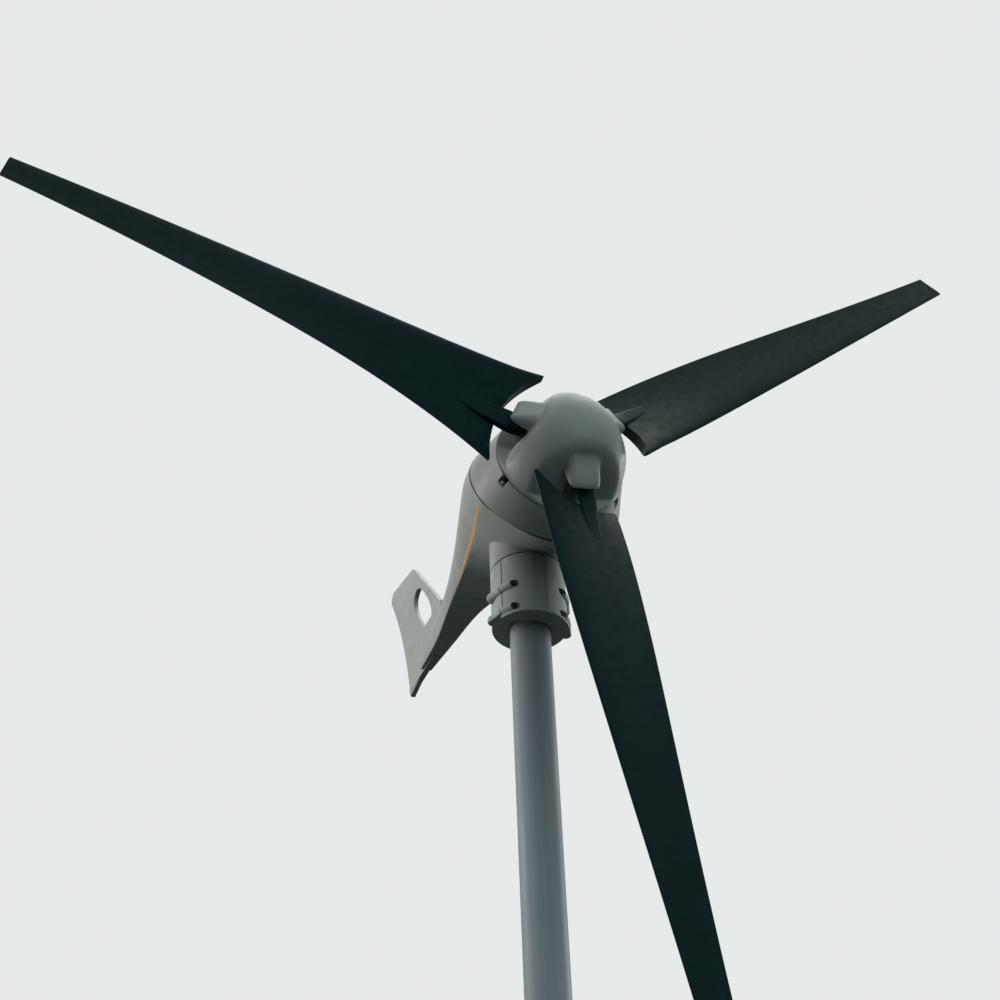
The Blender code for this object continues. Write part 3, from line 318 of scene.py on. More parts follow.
def mend(item):
    """Clear some flaws that booleans leave: sliver edges, faces back to back and open seams."""
    shape = bmesh.new()
    shape.from_mesh(item.data)
    bmesh.ops.dissolve_degenerate(shape, edges=shape.edges, dist=0.000004)
    shape.verts.index_update()
    alike = {}
    for face in shape.faces:
        alike.setdefault(frozenset(vert.index for vert in face.verts), []).append(face)
    doubled = [face for faces in alike.values() if len(faces) > 1 for face in faces]
    bmesh.ops.delete(shape, geom=doubled, context="FACES")
    bmesh.ops.holes_fill(shape, edges=[edge for edge in shape.edges if len(edge.link_faces) == 1], sides=0)
    stray = [edge for edge in shape.edges if not edge.link_faces]
    bmesh.ops.delete(shape, geom=stray, context="EDGES")
    bmesh.ops.recalc_face_normals(shape, faces=shape.faces)
    shape.to_mesh(item.data)
    shape.free()


def complete(item, body, slot, finish, *nodes, sharp=32):
    """Shade, finish and hang a piece, which stands for the nodes named."""
    mend(item)
    item.data.shade_smooth()
    item.data.set_sharp_from_angle(angle=math.radians(sharp))
    item.data.materials.clear()
    item.data.materials.append(finish)
    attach(item, body)
    if nodes:
        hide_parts(*nodes)
    return item


# ---- finishes ----
class Finish:
    """A material and the nodes in it, in the object's own coordinates."""

    def __init__(self, name):
        self.material = bpy.data.materials.new(name)
        self.material.use_nodes = True
        self.tree = self.material.node_tree
        self.tree.nodes.clear()
        self.output = self.node("ShaderNodeOutputMaterial")
        self.shader = self.node("ShaderNodeBsdfPrincipled")
        self.link(self.shader.outputs[0], self.output.inputs["Surface"])
        self.coords = self.node("ShaderNodeTexCoord").outputs["Object"]

    def node(self, kind, **values):
        made = self.tree.nodes.new(kind)
        for key, value in values.items():
            setattr(made, key, value)
        return made

    def link(self, source, target):
        self.tree.links.new(source, target)

    def put(self, value, target):
        """Set an input to a number or colour, or join it to an output."""
        if hasattr(value, "is_output"):
            self.link(value, target)
        elif isinstance(value, (tuple, list)) and len(target.default_value) == 4 and len(value) == 3:
            target.default_value = (*value, 1.0)
        else:
            target.default_value = value

    def stretched(self, stretch):
        mapping = self.node("ShaderNodeMapping")
        self.link(self.coords, mapping.inputs["Vector"])
        mapping.inputs["Scale"].default_value = stretch
        return mapping.outputs[0]

    def noise(self, scale, detail=3.0, roughness=0.55, stretch=None):
        made = self.node("ShaderNodeTexNoise")
        self.link(self.stretched(stretch) if stretch else self.coords, made.inputs["Vector"])
        made.inputs["Scale"].default_value = scale
        made.inputs["Detail"].default_value = detail
        made.inputs["Roughness"].default_value = roughness
        return made.outputs["Fac"]

    def cells(self, scale, feature="F1", stretch=None):
        made = self.node("ShaderNodeTexVoronoi", feature=feature)
        self.link(self.stretched(stretch) if stretch else self.coords, made.inputs["Vector"])
        made.inputs["Scale"].default_value = scale
        return made.outputs["Distance"]

    def waves(self, scale, direction, distortion=0.0):
        made = self.node("ShaderNodeTexWave", bands_direction=direction)
        self.link(self.coords, made.inputs["Vector"])
        made.inputs["Scale"].default_value = scale
        made.inputs["Distortion"].default_value = distortion
        return made.outputs["Fac"]

    def ranged(self, value, low, high, out_low=0.0, out_high=1.0):
        made = self.node("ShaderNodeMapRange", interpolation_type="SMOOTHSTEP")
        for key, number in (("From Min", low), ("From Max", high), ("To Min", out_low), ("To Max", out_high)):
            made.inputs[key].default_value = number
        self.put(value, made.inputs["Value"])
        return made.outputs[0]

    def mixed(self, share, first, second):
        made = self.node("ShaderNodeMix", data_type="RGBA")
        self.put(share, made.inputs[0])
        self.put(first, made.inputs[6])
        self.put(second, made.inputs[7])
        return made.outputs[2]

    def sum(self, first, second, operation="ADD"):
        made = self.node("ShaderNodeMath", operation=operation)
        self.put(first, made.inputs[0])
        self.put(second, made.inputs[1])
        return made.outputs[0]

    def edges(self, radius, low, high):
        """1 on sharp edges and 0 on open faces."""
        soft = self.node("ShaderNodeBevel", samples=4)
        soft.inputs["Radius"].default_value = radius
        plain = self.node("ShaderNodeNewGeometry").outputs["Normal"]
        dot = self.node("ShaderNodeVectorMath", operation="DOT_PRODUCT")
        self.link(soft.outputs[0], dot.inputs[0])
        self.link(plain, dot.inputs[1])
        return self.ranged(dot.outputs["Value"], 1 - low, 1 - high)

    def relief(self, height, depth, strength=1.0, before=None):
        made = self.node("ShaderNodeBump")
        made.inputs["Distance"].default_value = depth
        made.inputs["Strength"].default_value = strength
        self.put(height, made.inputs["Height"])
        if before is not None:
            self.link(before, made.inputs["Normal"])
        return made.outputs[0]

    def use(self, **inputs):
        names = {"colour": "Base Color", "metal": "Metallic", "rough": "Roughness", "normal": "Normal",
                 "coat": "Coat Weight", "coat_rough": "Coat Roughness", "shine": "Specular IOR Level",
                 "shine_tint": "Specular Tint"}
        for key, value in inputs.items():
            self.put(value, self.shader.inputs[names[key]])
        return self.material


def powder_coat(name, colour, grime, rough=0.42):
    """Satin powder coat: faint orange peel, soft colour drift, dirt streaks and paler worn edges."""
    f = Finish(name)
    drift = f.ranged(f.noise(9.0, 4.0), 0.35, 0.68)
    dust = f.ranged(f.noise(34.0, 6.0, 0.62, (1.0, 1.0, 0.35)), 0.52, 0.74)
    pale = [min(channel * 1.12, 1.0) for channel in colour]
    base = f.mixed(drift, colour, pale)
    base = f.mixed(f.sum(dust, 0.35, "MULTIPLY"), base, grime)
    worn = f.sum(f.edges(0.0009, 0.04, 0.30), f.ranged(f.noise(160.0, 4.0), 0.45, 0.65), "MULTIPLY")
    base = f.mixed(f.sum(worn, 0.30, "MULTIPLY"), base, grime)
    peel = f.relief(f.noise(1400.0, 2.0, 0.5), 0.00006, 0.55)
    grain = f.relief(f.noise(300.0, 3.0), 0.00008, 0.30, peel)
    rough_map = f.ranged(f.noise(60.0, 5.0), 0.3, 0.7, rough - 0.06, rough + 0.10)
    return f.use(colour=base, rough=f.sum(rough_map, f.sum(dust, 0.10, "MULTIPLY")), normal=grain, shine=0.34)


def moulded_blade(name):
    """Carbon-filled moulded nylon: near black, satin, with faint flow lines along the blade."""
    f = Finish(name)
    flow = f.ranged(f.noise(22.0, 5.0, 0.6), 0.3, 0.7)
    base = f.mixed(flow, (0.0012, 0.0056, 0.0060), (0.0034, 0.0098, 0.0104))
    scuff = f.ranged(f.noise(75.0, 8.0, 0.7), 0.58, 0.72)
    base = f.mixed(f.sum(scuff, 0.30, "MULTIPLY"), base, (0.010, 0.022, 0.024))
    wear = f.sum(f.edges(0.0012, 0.05, 0.35), 0.35, "MULTIPLY")
    base = f.mixed(wear, base, (0.055, 0.060, 0.060))
    fine = f.relief(f.noise(1900.0, 2.0), 0.00005, 0.5)
    ripple = f.relief(f.noise(45.0, 2.0), 0.0004, 0.12, fine)
    rough = f.ranged(f.noise(120.0, 5.0), 0.3, 0.7, 0.42, 0.56)
    return f.use(colour=base, rough=rough, normal=ripple, shine=0.19, shine_tint=(0.30, 0.88, 0.92))


def weathered_mast(name):
    """Blue-grey weathered coating with soft streaks down the tube."""
    f = Finish(name)
    streak = f.ranged(f.noise(70.0, 5.0, 0.6, (1.0, 1.0, 0.03)), 0.35, 0.68)
    cloud = f.ranged(f.noise(16.0, 5.0), 0.35, 0.7)
    base = f.mixed(streak, (0.240, 0.285, 0.320), (0.305, 0.350, 0.385))
    base = f.mixed(f.sum(cloud, 0.45, "MULTIPLY"), base, (0.325, 0.362, 0.395))
    spots = f.ranged(f.cells(330.0), 0.02, 0.10, 1.0, 0.0)
    spots = f.sum(spots, f.ranged(f.noise(60.0), 0.55, 0.68), "MULTIPLY")
    base = f.mixed(f.sum(spots, 0.5, "MULTIPLY"), base, (0.120, 0.145, 0.158))
    draw = f.relief(f.noise(900.0, 3.0, 0.6, (1.0, 1.0, 0.02)), 0.00005, 0.4)
    skin_bump = f.relief(f.noise(420.0, 4.0), 0.00006, 0.35, draw)
    rough = f.ranged(f.noise(48.0, 5.0, 0.6, (1.0, 1.0, 0.15)), 0.3, 0.7, 0.38, 0.55)
    return f.use(colour=base, rough=rough, normal=skin_bump, shine=0.20)


def metal_finish(name, colour, rough, stretch=(1.0, 1.0, 1.0), tarnish=None, scale=700.0):
    """Machined or drawn metal: fine tool marks and cloudy tarnish."""
    f = Finish(name)
    tarnish = tarnish or [channel * 0.6 for channel in colour]
    cloud = f.ranged(f.noise(110.0, 5.0), 0.42, 0.72)
    base = f.mixed(f.sum(cloud, 0.6, "MULTIPLY"), colour, tarnish)
    marks = f.noise(scale, 4.0, 0.6, stretch)
    normal = f.relief(marks, 0.00004, 0.5)
    rough_map = f.ranged(marks, 0.3, 0.7, rough - 0.07, rough + 0.09)
    return f.use(colour=base, rough=rough_map, normal=normal, metal=1.0)


def plastic_finish(name, colour, rough, grain=1200.0):
    """Moulded plastic or rubber: fine spark-eroded grain and faint scuffs."""
    f = Finish(name)
    drift = f.ranged(f.noise(60.0, 5.0), 0.35, 0.7)
    pale = [min(channel * 1.35 + 0.006, 1.0) for channel in colour]
    base = f.mixed(drift, colour, pale)
    normal = f.relief(f.noise(grain, 3.0), 0.00007, 0.6)
    rough_map = f.ranged(f.noise(240.0, 4.0), 0.3, 0.7, rough - 0.07, rough + 0.08)
    return f.use(colour=base, rough=rough_map, normal=normal)


def wound_copper(name):
    """Enamelled copper wire, laid side by side, with painted shade in the grooves between the wires."""
    f = Finish(name)
    strands = f.waves(420.0, "DIAGONAL", 1.2)
    # Darker copper where the wave is low, in the grooves between the wires: painted shade.
    base = f.mixed(f.ranged(strands, 0.1, 0.6), (0.16, 0.045, 0.018), (0.62, 0.24, 0.10))
    return f.use(colour=base, rough=0.32, normal=f.relief(strands, 0.00025, 0.9), metal=0.9, coat=0.4)


def laminated_steel(name):
    f = Finish(name)
    sheets = f.waves(500.0, "Y")
    base = f.mixed(f.ranged(sheets, 0.0, 0.5), (0.05, 0.05, 0.055), (0.30, 0.30, 0.32))
    return f.use(colour=base, rough=0.5, normal=f.relief(sheets, 0.00012, 0.8), metal=0.8)


def printed_board(name):
    """Green solder resist with raised tracks."""
    f = Finish(name)
    tracks = f.cells(230.0, "DISTANCE_TO_EDGE")
    mask = f.ranged(tracks, 0.03, 0.07, 1.0, 0.0)
    base = f.mixed(mask, (0.010, 0.085, 0.030), (0.030, 0.190, 0.070))
    return f.use(colour=base, rough=0.35, normal=f.relief(mask, 0.00006, 0.8), coat=0.5)


def accent_line(name, length, start):
    """A thin painted accent that fades along its length."""
    f = Finish(name)
    split = f.node("ShaderNodeSeparateXYZ")
    f.link(f.coords, split.inputs[0])
    fade = f.ranged(split.outputs["Y"], start + 0.45 * length, start + 0.98 * length)
    speckle = f.ranged(f.noise(500.0, 5.0), 0.4, 0.7)
    base = f.mixed(speckle, (0.86, 0.42, 0.10), (0.74, 0.38, 0.11))
    base = f.mixed(fade, base, (0.42, 0.33, 0.29))
    return f.use(colour=base, rough=0.45, normal=f.relief(f.noise(1300.0), 0.00005, 0.5))


def screw_finish(name):
    """Dulled dark zinc with a little rust in the recesses."""
    f = Finish(name)
    rust = f.ranged(f.noise(260.0, 7.0, 0.65), 0.56, 0.72)
    base = f.mixed(f.sum(rust, 0.5, "MULTIPLY"), (0.16, 0.16, 0.155), (0.10, 0.055, 0.03))
    rough = f.ranged(rust, 0.0, 1.0, 0.38, 0.75)
    return f.use(colour=base, rough=rough, normal=f.relief(f.noise(900.0, 4.0), 0.00006, 0.6), metal=0.85)


# ---- nacelle body ----
BELLY_STEPS = 14
CREASE_ROUND = 0.0009
SIDE_STEPS = 8
ROOF_STEPS = 22
BODY_STEPS = 14              # sections between two rows


def row_at(place):
    """Body row values at a place, along a smooth curve through the rows."""
    rows = BODY_ROWS
    index = max(i for i in range(len(rows) - 1) if rows[i][0] <= place + 1e-9)
    before, first, second, after = (rows[min(max(i, 0), len(rows) - 1)] for i in range(index - 1, index + 3))
    width = second[0] - first[0]
    part = (place - first[0]) / width
    values = []
    for a, b, c, d in zip(before[1:], first[1:], second[1:], after[1:]):
        slope_in = (c - a) / (second[0] - before[0]) * width if before is not first else c - b
        slope_out = (d - b) / (after[0] - first[0]) * width if after is not second else c - b
        square, cube = part * part, part ** 3
        values.append(b * (2 * cube - 3 * square + 1) + slope_in * (cube - 2 * square + part)
                      + c * (3 * square - 2 * cube) + slope_out * (cube - square))
    return values


def body_half(place):
    """One side of a body section as (x, rise), from under the belly to the top."""
    edge, edge_rise, depth, width, width_rise, top, _ = row_at(place)
    half = []
    for i in range(1, BELLY_STEPS):
        part = i / BELLY_STEPS
        half.append((edge * part, edge_rise - depth * (1 - part * part)))
    slope = Vector((edge, 2 * depth)).normalized()
    up = Vector((width - edge, width_rise - edge_rise)).normalized()
    corner = Vector((edge, edge_rise))
    reach = min(CREASE_ROUND, edge * 0.12)
    low, high = corner - slope * reach, corner + up * reach
    half += [tuple(low), tuple((low + corner * 2 + high) / 4), tuple(high)]
    for i in range(1, SIDE_STEPS + 1):
        part = i / SIDE_STEPS
        x = edge + (width - edge) * math.sin(part * QUARTER)
        half.append((x, edge_rise + (width_rise - edge_rise) * part))
    for i in range(1, ROOF_STEPS):
        angle = i / ROOF_STEPS * QUARTER
        half.append((width * math.cos(angle), width_rise + (top - width_rise) * math.sin(angle)))
    return half


def body_section(place):
    _, edge_rise, depth, _, width_rise, top, lean = row_at(place)
    half = body_half(place)
    outline = [(0, edge_rise - depth)] + half + [(0, top)] + [(-x, rise) for x, rise in reversed(half)]
    return [raised(x, place + lean * (rise - width_rise), rise) for x, rise in outline]


def front_strip(low, high):
    """A cutter for the flat down the front of the column."""
    depth = 0.010
    centre = raised(0, -STRIP_DISTANCE - depth / 2, (low + high) / 2)
    return block("strip", (STRIP_WIDTH, depth, high - low), centre)


def seam_block(side):
    """A block that trims a piece at the leaning seam. side is 1 behind the seam and -1 ahead of it."""
    depth = 0.1
    item = block("seam_trim", (0.2, depth, 0.3), (0, 0, 0))
    item.rotation_euler = (math.atan(-SEAM_TILT), 0, 0)
    item.location = raised(0, -SEAM_AHEAD + side * (depth / 2 - GAP / 2), AXIS_RISE)
    return item


def axis_rod(name, radius, low, high, sides=64, x=0.0, rise=0.0):
    """A cutter along the rotor axis, or beside it, between two distances ahead."""
    return rod(name, radius, low, high, raised(x, 0, AXIS_RISE + rise), FORWARD, sides)


def build_body(paint):
    places = []
    for first, second in zip(BODY_ROWS, BODY_ROWS[1:]):
        places += [first[0] + (second[0] - first[0]) * i / BODY_STEPS for i in range(BODY_STEPS)]
    places.append(BODY_ROWS[-1][0])
    rows = [body_section(place) for place in places]
    middle = sum((Vector(point) for point in rows[-1]), Vector()) / len(rows[-1])
    for inset, back in ((0.93, 0.0006), (0.80, 0.0010)):
        step = Vector((0, back, 0))
        rows.append([tuple(middle + (Vector(point) - middle) * inset + step) for point in rows[-1]])
    body = skin("nacelle_shell", rows)
    neck_profile = rounded([(0, NECK_BOTTOM, 0), (NECK_RADIUS, NECK_BOTTOM, 0.0008), (NECK_RADIUS, 0.150, 0),
                            (0, 0.150, 0)])
    neck = revolve("neck", neck_profile, raised(0, 0, 0), sides=128)
    neck = shape_with(neck, cuts=[front_strip(0.05, 0.105)])
    cuts = [
        seam_block(-1),
        axis_rod("stator_room", STATOR_ROOM_RADIUS, 0.0440, 0.12, 96),
        axis_rod("bearing_seat", BEARING_SEAT_RADIUS, 0.0327, 0.06),
        axis_rod("shaft_way", SHAFT_WAY_RADIUS, 0.0255, 0.06),
        rod("neck_bore", 0.0173, 0.060, 0.1275, raised(0, 0, 0)),
        rod("ring_room", 0.0215, 0.1272, 0.145, raised(0, 0, 0)),
        block("slip_ring_room", (0.060, 0.078, 0.052), raised(0, 0.0135, 0.1670)),
        block("board_room", (0.036, 0.062, 0.036), raised(0, 0.0790, 0.1830)),
        axis_rod("cable_way", 0.0038, 0.020, 0.055, 24, 0.024, 0.032),
    ]
    for angle in FACE_SCREW_ANGLES:
        x, rise = polar(FACE_SCREW_RING, angle)
        cuts.append(axis_rod("face_thread", 0.0023, 0.0448, 0.12, 24, x, rise))
    # Known fault: this cutter's sides outside the body are left in the result, round the fin.
    fin_slot = block("fin_slot", (FIN_THICKNESS + 2 * GAP, 0.120, 0.060), raised(0, 0.340, 0.2265))
    fin_slot.rotation_euler = (math.atan(0.15), 0, 0)
    cuts.append(fin_slot)
    for y, rise in TAIL_SCREWS:
        cuts.append(rod("tail_hole", 0.0018 + GAP, -0.0055, 0.03, raised(0, y, rise), SIDEWAYS, 32))
        cuts.append(rod("head_seat", 0.0038, TAIL_HEAD_SEAT, 0.03, raised(0, y, rise), SIDEWAYS, 32))
    body = shape_with(body, [neck], cuts)
    complete(body, "nacelle", "body_paint", paint, "nacelle_body")


STRIPE_START = -0.049
STRIPE_LENGTH = 0.235
STRIPE_WIDTH = 0.0044
STRIPE_LIFT = 0.00012


def build_stripe(finish):
    """A thin accent line just above the body's lower edge on each side, spindle shaped."""
    steps = 60
    for side, name in ((-1, "accent_line_left"), (1, "accent_line_right")):
        rows = []
        for i in range(steps + 1):
            part = i / steps
            place = STRIPE_START + STRIPE_LENGTH * part
            edge, edge_rise, _, width, width_rise, _, lean = row_at(place)
            wide = STRIPE_WIDTH * (0.12 + 0.88 * math.sin(HALF_TURN * part ** 0.75) ** 0.8)
            wide *= 1 - 0.45 * part
            tall = width_rise - edge_rise
            spots = []
            for across in (0.0, 0.34, 0.67, 1.0):
                share = (0.0010 + wide * across) / tall
                x = edge + (width - edge) * math.sin(share * QUARTER)
                rise = edge_rise + tall * share
                spots.append((x, place + lean * (rise - width_rise), rise))
            outer = [raised(side * (x + STRIPE_LIFT), y, rise) for x, y, rise in spots]
            inner = [raised(side * (x - STRIPE_LIFT), y, rise) for x, y, rise in reversed(spots)]
            rows.append(outer + inner)
        complete(skin(name, rows), "nacelle", "body_paint", finish)


# ---- face housing ----
def face_section(part, inset=0.0):
    radius = RIM_RADIUS + (SEAM_RADIUS - RIM_RADIUS) * part - inset
    ahead = FACE_AHEAD + (SEAM_AHEAD - FACE_AHEAD) * part
    points = []
    for i in range(168):
        x, rise = polar(radius, 360 / 168 * i)
        points.append(raised(x, -ahead + SEAM_TILT * part * rise, AXIS_RISE + rise))
    return points


def notch_cutter(angle):
    """A half-round notch that opens outward, round a face screw."""
    shape = [polar(NOTCH_RADIUS, 90 + 180 / 16 * i) for i in range(17)]
    shape += [(0.012, -NOTCH_RADIUS), (0.012, NOTCH_RADIUS)]
    turn = Matrix.Rotation(math.radians(angle), 2)
    outline = [tuple(turn @ Vector((FACE_SCREW_RING + x, y))) for x, y in shape]
    depth = 0.030
    place = raised(0, -(FACE_AHEAD - FACE_NOTCH_DEPTH + depth / 2), AXIS_RISE)
    return slab("notch", [outline], depth, 0.0, place, FORWARD)


def build_face(paint, screw):
    rim = 0.0010
    length = 0.043
    rows = [face_section(0, rim)]
    for i in range(1, 5):
        turn = QUARTER * i / 4
        rows.append(face_section(rim / length * (1 - math.cos(turn)), rim * (1 - math.sin(turn))))
    rows += [face_section(0.05 + 1.10 * i / 26) for i in range(27)]
    face = skin("face_shell", rows)
    cuts = [
        seam_block(1),
        axis_rod("stator_room", STATOR_ROOM_RADIUS, 0.0, 0.0805, 96),
        axis_rod("bearing_seat", BEARING_SEAT_RADIUS, 0.05, 0.0963),
        axis_rod("shaft_way", SHAFT_WAY_RADIUS, 0.05, 0.12),
    ]
    seat = FACE_AHEAD - FACE_NOTCH_DEPTH
    for number, angle in enumerate(FACE_SCREW_ANGLES):
        x, rise = polar(FACE_SCREW_RING, angle)
        cuts += [axis_rod("screw_way", 0.0026, 0.0, 0.12, 32, x, rise), notch_cutter(angle)]
        item = socket_screw(f"face_bolt_{number + 1}", 0.0020, 0.0040, 0.0033, 0.0019,
                            seat + GAP, 0.0465, raised(x, 0, AXIS_RISE + rise), FORWARD)
        complete(item, "nacelle", "zinc_screw", screw, f"face_screw_{number + 1}")
    face = shape_with(face, cuts=cuts)
    complete(face, "nacelle", "body_paint", paint, "face_housing")


def socket_screw(name, shank, head, head_height, socket, seat, end, place, turn):
    """A screw with a domed-edge head from seat outward, a hexagon socket, and its shank down to end."""
    top = seat + head_height
    profile = rounded([(0, top, 0), (head, top, head * 0.18), (head, seat, head * 0.06), (shank, seat, 0),
                       (shank, end, shank * 0.3), (0, end, 0)], 4)
    item = revolve(name, profile, place, turn, 48)
    wall = [polar(socket, 60 * i) for i in range(6)]
    shape = bmesh.new()
    for height in (top - head_height * 0.62, top + 0.002):
        for x, y in wall:
            shape.verts.new((x, y, height))
    shape.verts.ensure_lookup_table()
    for i in range(6):
        j = (i + 1) % 6
        shape.faces.new([shape.verts[k] for k in (i, j, j + 6, i + 6)])
    shape.faces.new([shape.verts[k] for k in range(6)])
    shape.faces.new([shape.verts[k] for k in range(6, 12)])
    return shape_with(item, cuts=[add("socket", shape, place, turn)])


# ---- tail fin ----
def fin_outline():
    """The fin seen from the side as (y, rise): a swept plate with a rounded rear corner."""
    front = [(0.290, 0.1925, 0), (0.290, 0.2270, 0), (0.2760, 0.2440, 0.0012), (0.3956, 0.3867, 0.030),
             (0.4840, 0.4170, 0)]
    corner = (0.4870, 0.4075)
    arc = [(corner[0] + polar(0.010, angle)[0], corner[1] + polar(0.010, angle)[1])
           for angle in range(100, -31, -10)]
    rear = []
    for i in range(1, 24):
        part = i / 24
        bow = 0.010 * 4 * part * (1 - part)
        rear.append((0.4955 - 0.0925 * part - bow, 0.403 - 0.204 * part))
    under = [(0.407, 0.2078, 0), (0.403, 0.1990, 0.0015), (0.360, 0.2000, 0), (0.345, 0.2010, 0),
             (0.335, 0.1990, 0)]
    return rounded(front, 8) + arc + rear[:-1] + rounded(under, 4)


def fin_hole():
    """A long hole through the fin, leaning with its front edge."""
    lean = math.radians(53)
    points = []
    for i in range(64):
        x, y = polar(1.0, 360 / 64 * i)
        along = 0.055 * math.copysign(abs(x) ** 0.8, x)
        across = 0.0165 * math.copysign(abs(y) ** 0.8, y)
        points.append((0.353 + along * math.cos(lean) - across * math.sin(lean),
                       0.293 + along * math.sin(lean) + across * math.cos(lean)))
    return points


def build_fin(paint, screw):
    fin = slab("tail_vane", [fin_outline(), fin_hole()], FIN_THICKNESS, 0.0011,
               raised(0, 0, 0), (QUARTER, 0, QUARTER))
    holes = [rod("tail_hole", 0.0018 + GAP, -0.03, 0.03, raised(0, y, rise), SIDEWAYS, 32)
             for y, rise in TAIL_SCREWS]
    fin = shape_with(fin, cuts=holes)
    complete(fin, "nacelle", "body_paint", paint, "tail_fin")
    for number, (y, rise) in enumerate(TAIL_SCREWS):
        item = socket_screw(f"tail_bolt_{number + 1}", 0.0018, 0.0034, 0.0020, 0.0015,
                            TAIL_HEAD_SEAT + GAP, -0.0050, raised(0, y, rise), SIDEWAYS)
        complete(item, "nacelle", "zinc_screw", screw, f"tail_screw_{number + 1}")


# ---- clamp and mast ----
def side_rib(side, rise):
    """A round-ended rib that follows the side of the clamp."""
    low, high = RIB_SPREAD
    rows = []
    cap = 6
    spread = [(low, -QUARTER + QUARTER * i / cap) for i in range(cap)]
    spread += [(low + (high - low) * i / 20, 0) for i in range(21)]
    spread += [(high, QUARTER * i / cap) for i in range(1, cap + 1)]
    for angle, bulge in spread:
        radius = RIB_RADIUS * math.cos(bulge)
        ring = RIB_RING + RIB_SWELL * max(1 - (angle - low) / RIB_SWELL_ANGLE, 0) ** 2
        angle += math.degrees(RIB_RADIUS * math.sin(bulge) / ring)
        out = Vector((side * math.cos(math.radians(angle)), -math.sin(math.radians(angle)), 0))
        centre = Vector(raised(0, 0, rise)) + out * ring
        if radius < 1e-6:
            rows.append([tuple(centre)])
            continue
        row = []
        for k in range(32):
            lift = HALF_TURN / 16 * k
            row.append(tuple(centre + (out * math.cos(lift) + Vector((0, 0, math.sin(lift)))) * radius))
        rows.append(row)
    return skin("rib", rows)


def build_clamp(paint, screw):
    for side, label in ((-1, "front"), (1, "rear")):
        if side < 0:
            profile = [(0, CLAMP_TOP, 0), (NECK_RADIUS, CLAMP_TOP, 0.0008),
                       (NECK_RADIUS, FLANGE_THICKNESS, 0.0010), (FLANGE_RADIUS, FLANGE_THICKNESS, 0.0006),
                       (FLANGE_RADIUS, 0, 0.0006), (0, 0, 0)]
        else:
            profile = [(0, CLAMP_TOP, 0), (NECK_RADIUS, CLAMP_TOP, 0.0008),
                       (NECK_RADIUS, REAR_HALF_BOTTOM, 0.0008), (0, REAR_HALF_BOTTOM, 0)]
        half = revolve(f"clamp_casting_{label}", rounded(profile, 4), raised(0, 0, 0), sides=144)
        joins = []
        cuts = []
        for x_side in (-1, 1):
            for rise in CLAMP_SCREW_RISES:
                place = raised(x_side * CLAMP_SCREW_X, 0, rise)
                joins.append(side_rib(x_side, rise))
                cuts.append(rod("screw_hole", 0.0025, 0.0, 0.05, place, FORWARD, 24))
                cuts.append(rod("head_pocket", 0.0042, CLAMP_SCREW_SEAT, 0.05, place, FORWARD, 40))
        skew = (0, 0, 0.03)
        other_side = raised(0, side * (CLAMP_SPLIT / 2 - 0.05) - SPLIT_AHEAD, 0.03)
        lead_in = 0.0022
        bore = [(0, -0.01), (MAST_RADIUS + lead_in, -0.01), (MAST_RADIUS + lead_in, 0.0004),
                (MAST_RADIUS + GAP, 0.0004 + lead_in), (MAST_RADIUS + GAP, 0.048), (0, 0.048)]
        cuts += [
            revolve("mast_bore", bore, raised(0, 0, 0), skew, 100),
            rod("stem_way", 0.0135, 0.04, 0.08, raised(0, 0, 0), skew, 72),
            rod("flange_groove", 0.0248, 0.0512, 0.0578, raised(0, 0, 0), skew, 90),
            block("other_half", (0.1, 0.1, 0.2), other_side),
        ]
        if side < 0:
            cuts.append(front_strip(FLANGE_THICKNESS, 0.09))
        else:
            cuts.append(block("under_rear_half", (0.1, 0.1, 0.02), raised(0, 0, REAR_HALF_BOTTOM - 0.00998)))
        half = shape_with(half, joins, cuts)
        complete(half, "mast", "clamp_paint", paint, f"clamp_half_{label}")
    number = 0
    for x_side in (-1, 1):
        for rise in CLAMP_SCREW_RISES:
            number += 1
            seat = CLAMP_SCREW_SEAT + GAP
            item = socket_screw(f"clamp_bolt_{number}", 0.0022, 0.0038, 0.0034, 0.0018, seat,
                                seat - CLAMP_SCREW_LENGTH, raised(x_side * CLAMP_SCREW_X, 0, rise), FORWARD)
            complete(item, "mast", "zinc_screw", screw, f"clamp_screw_{number}")


def build_mast(steel):
    bore = MAST_RADIUS - MAST_WALL
    plate = 0.003
    edge = 0.0005
    corners = [(0, plate, 0), (bore, plate, 0.001), (bore, MAST_TOP, edge),
               (MAST_RADIUS, MAST_TOP, edge), (MAST_RADIUS, 0, edge), (0, 0, 0)]
    profile = rounded(corners, 4)
    levels = 48
    outer = [(MAST_RADIUS, MAST_TOP - edge - (MAST_TOP - 2 * edge) * i / levels) for i in range(1, levels)]
    split = max(i for i, point in enumerate(profile) if abs(point[1] - (MAST_TOP - edge)) < 1e-5)
    profile = profile[:split + 1] + outer + profile[split + 1:]
    mast = revolve("mast_pole", profile, sides=128)
    hole = rod("cable_hole", 0.006, 0.005, 0.03, (0, 0, 0.030), SIDEWAYS, 48)
    mast = shape_with(mast, cuts=[hole])
    complete(mast, "mast", "mast_steel", steel, "mast_tube")


# ---- rotor ----
AEROFOIL_STEPS = 26
BLADE_STEPS = 110


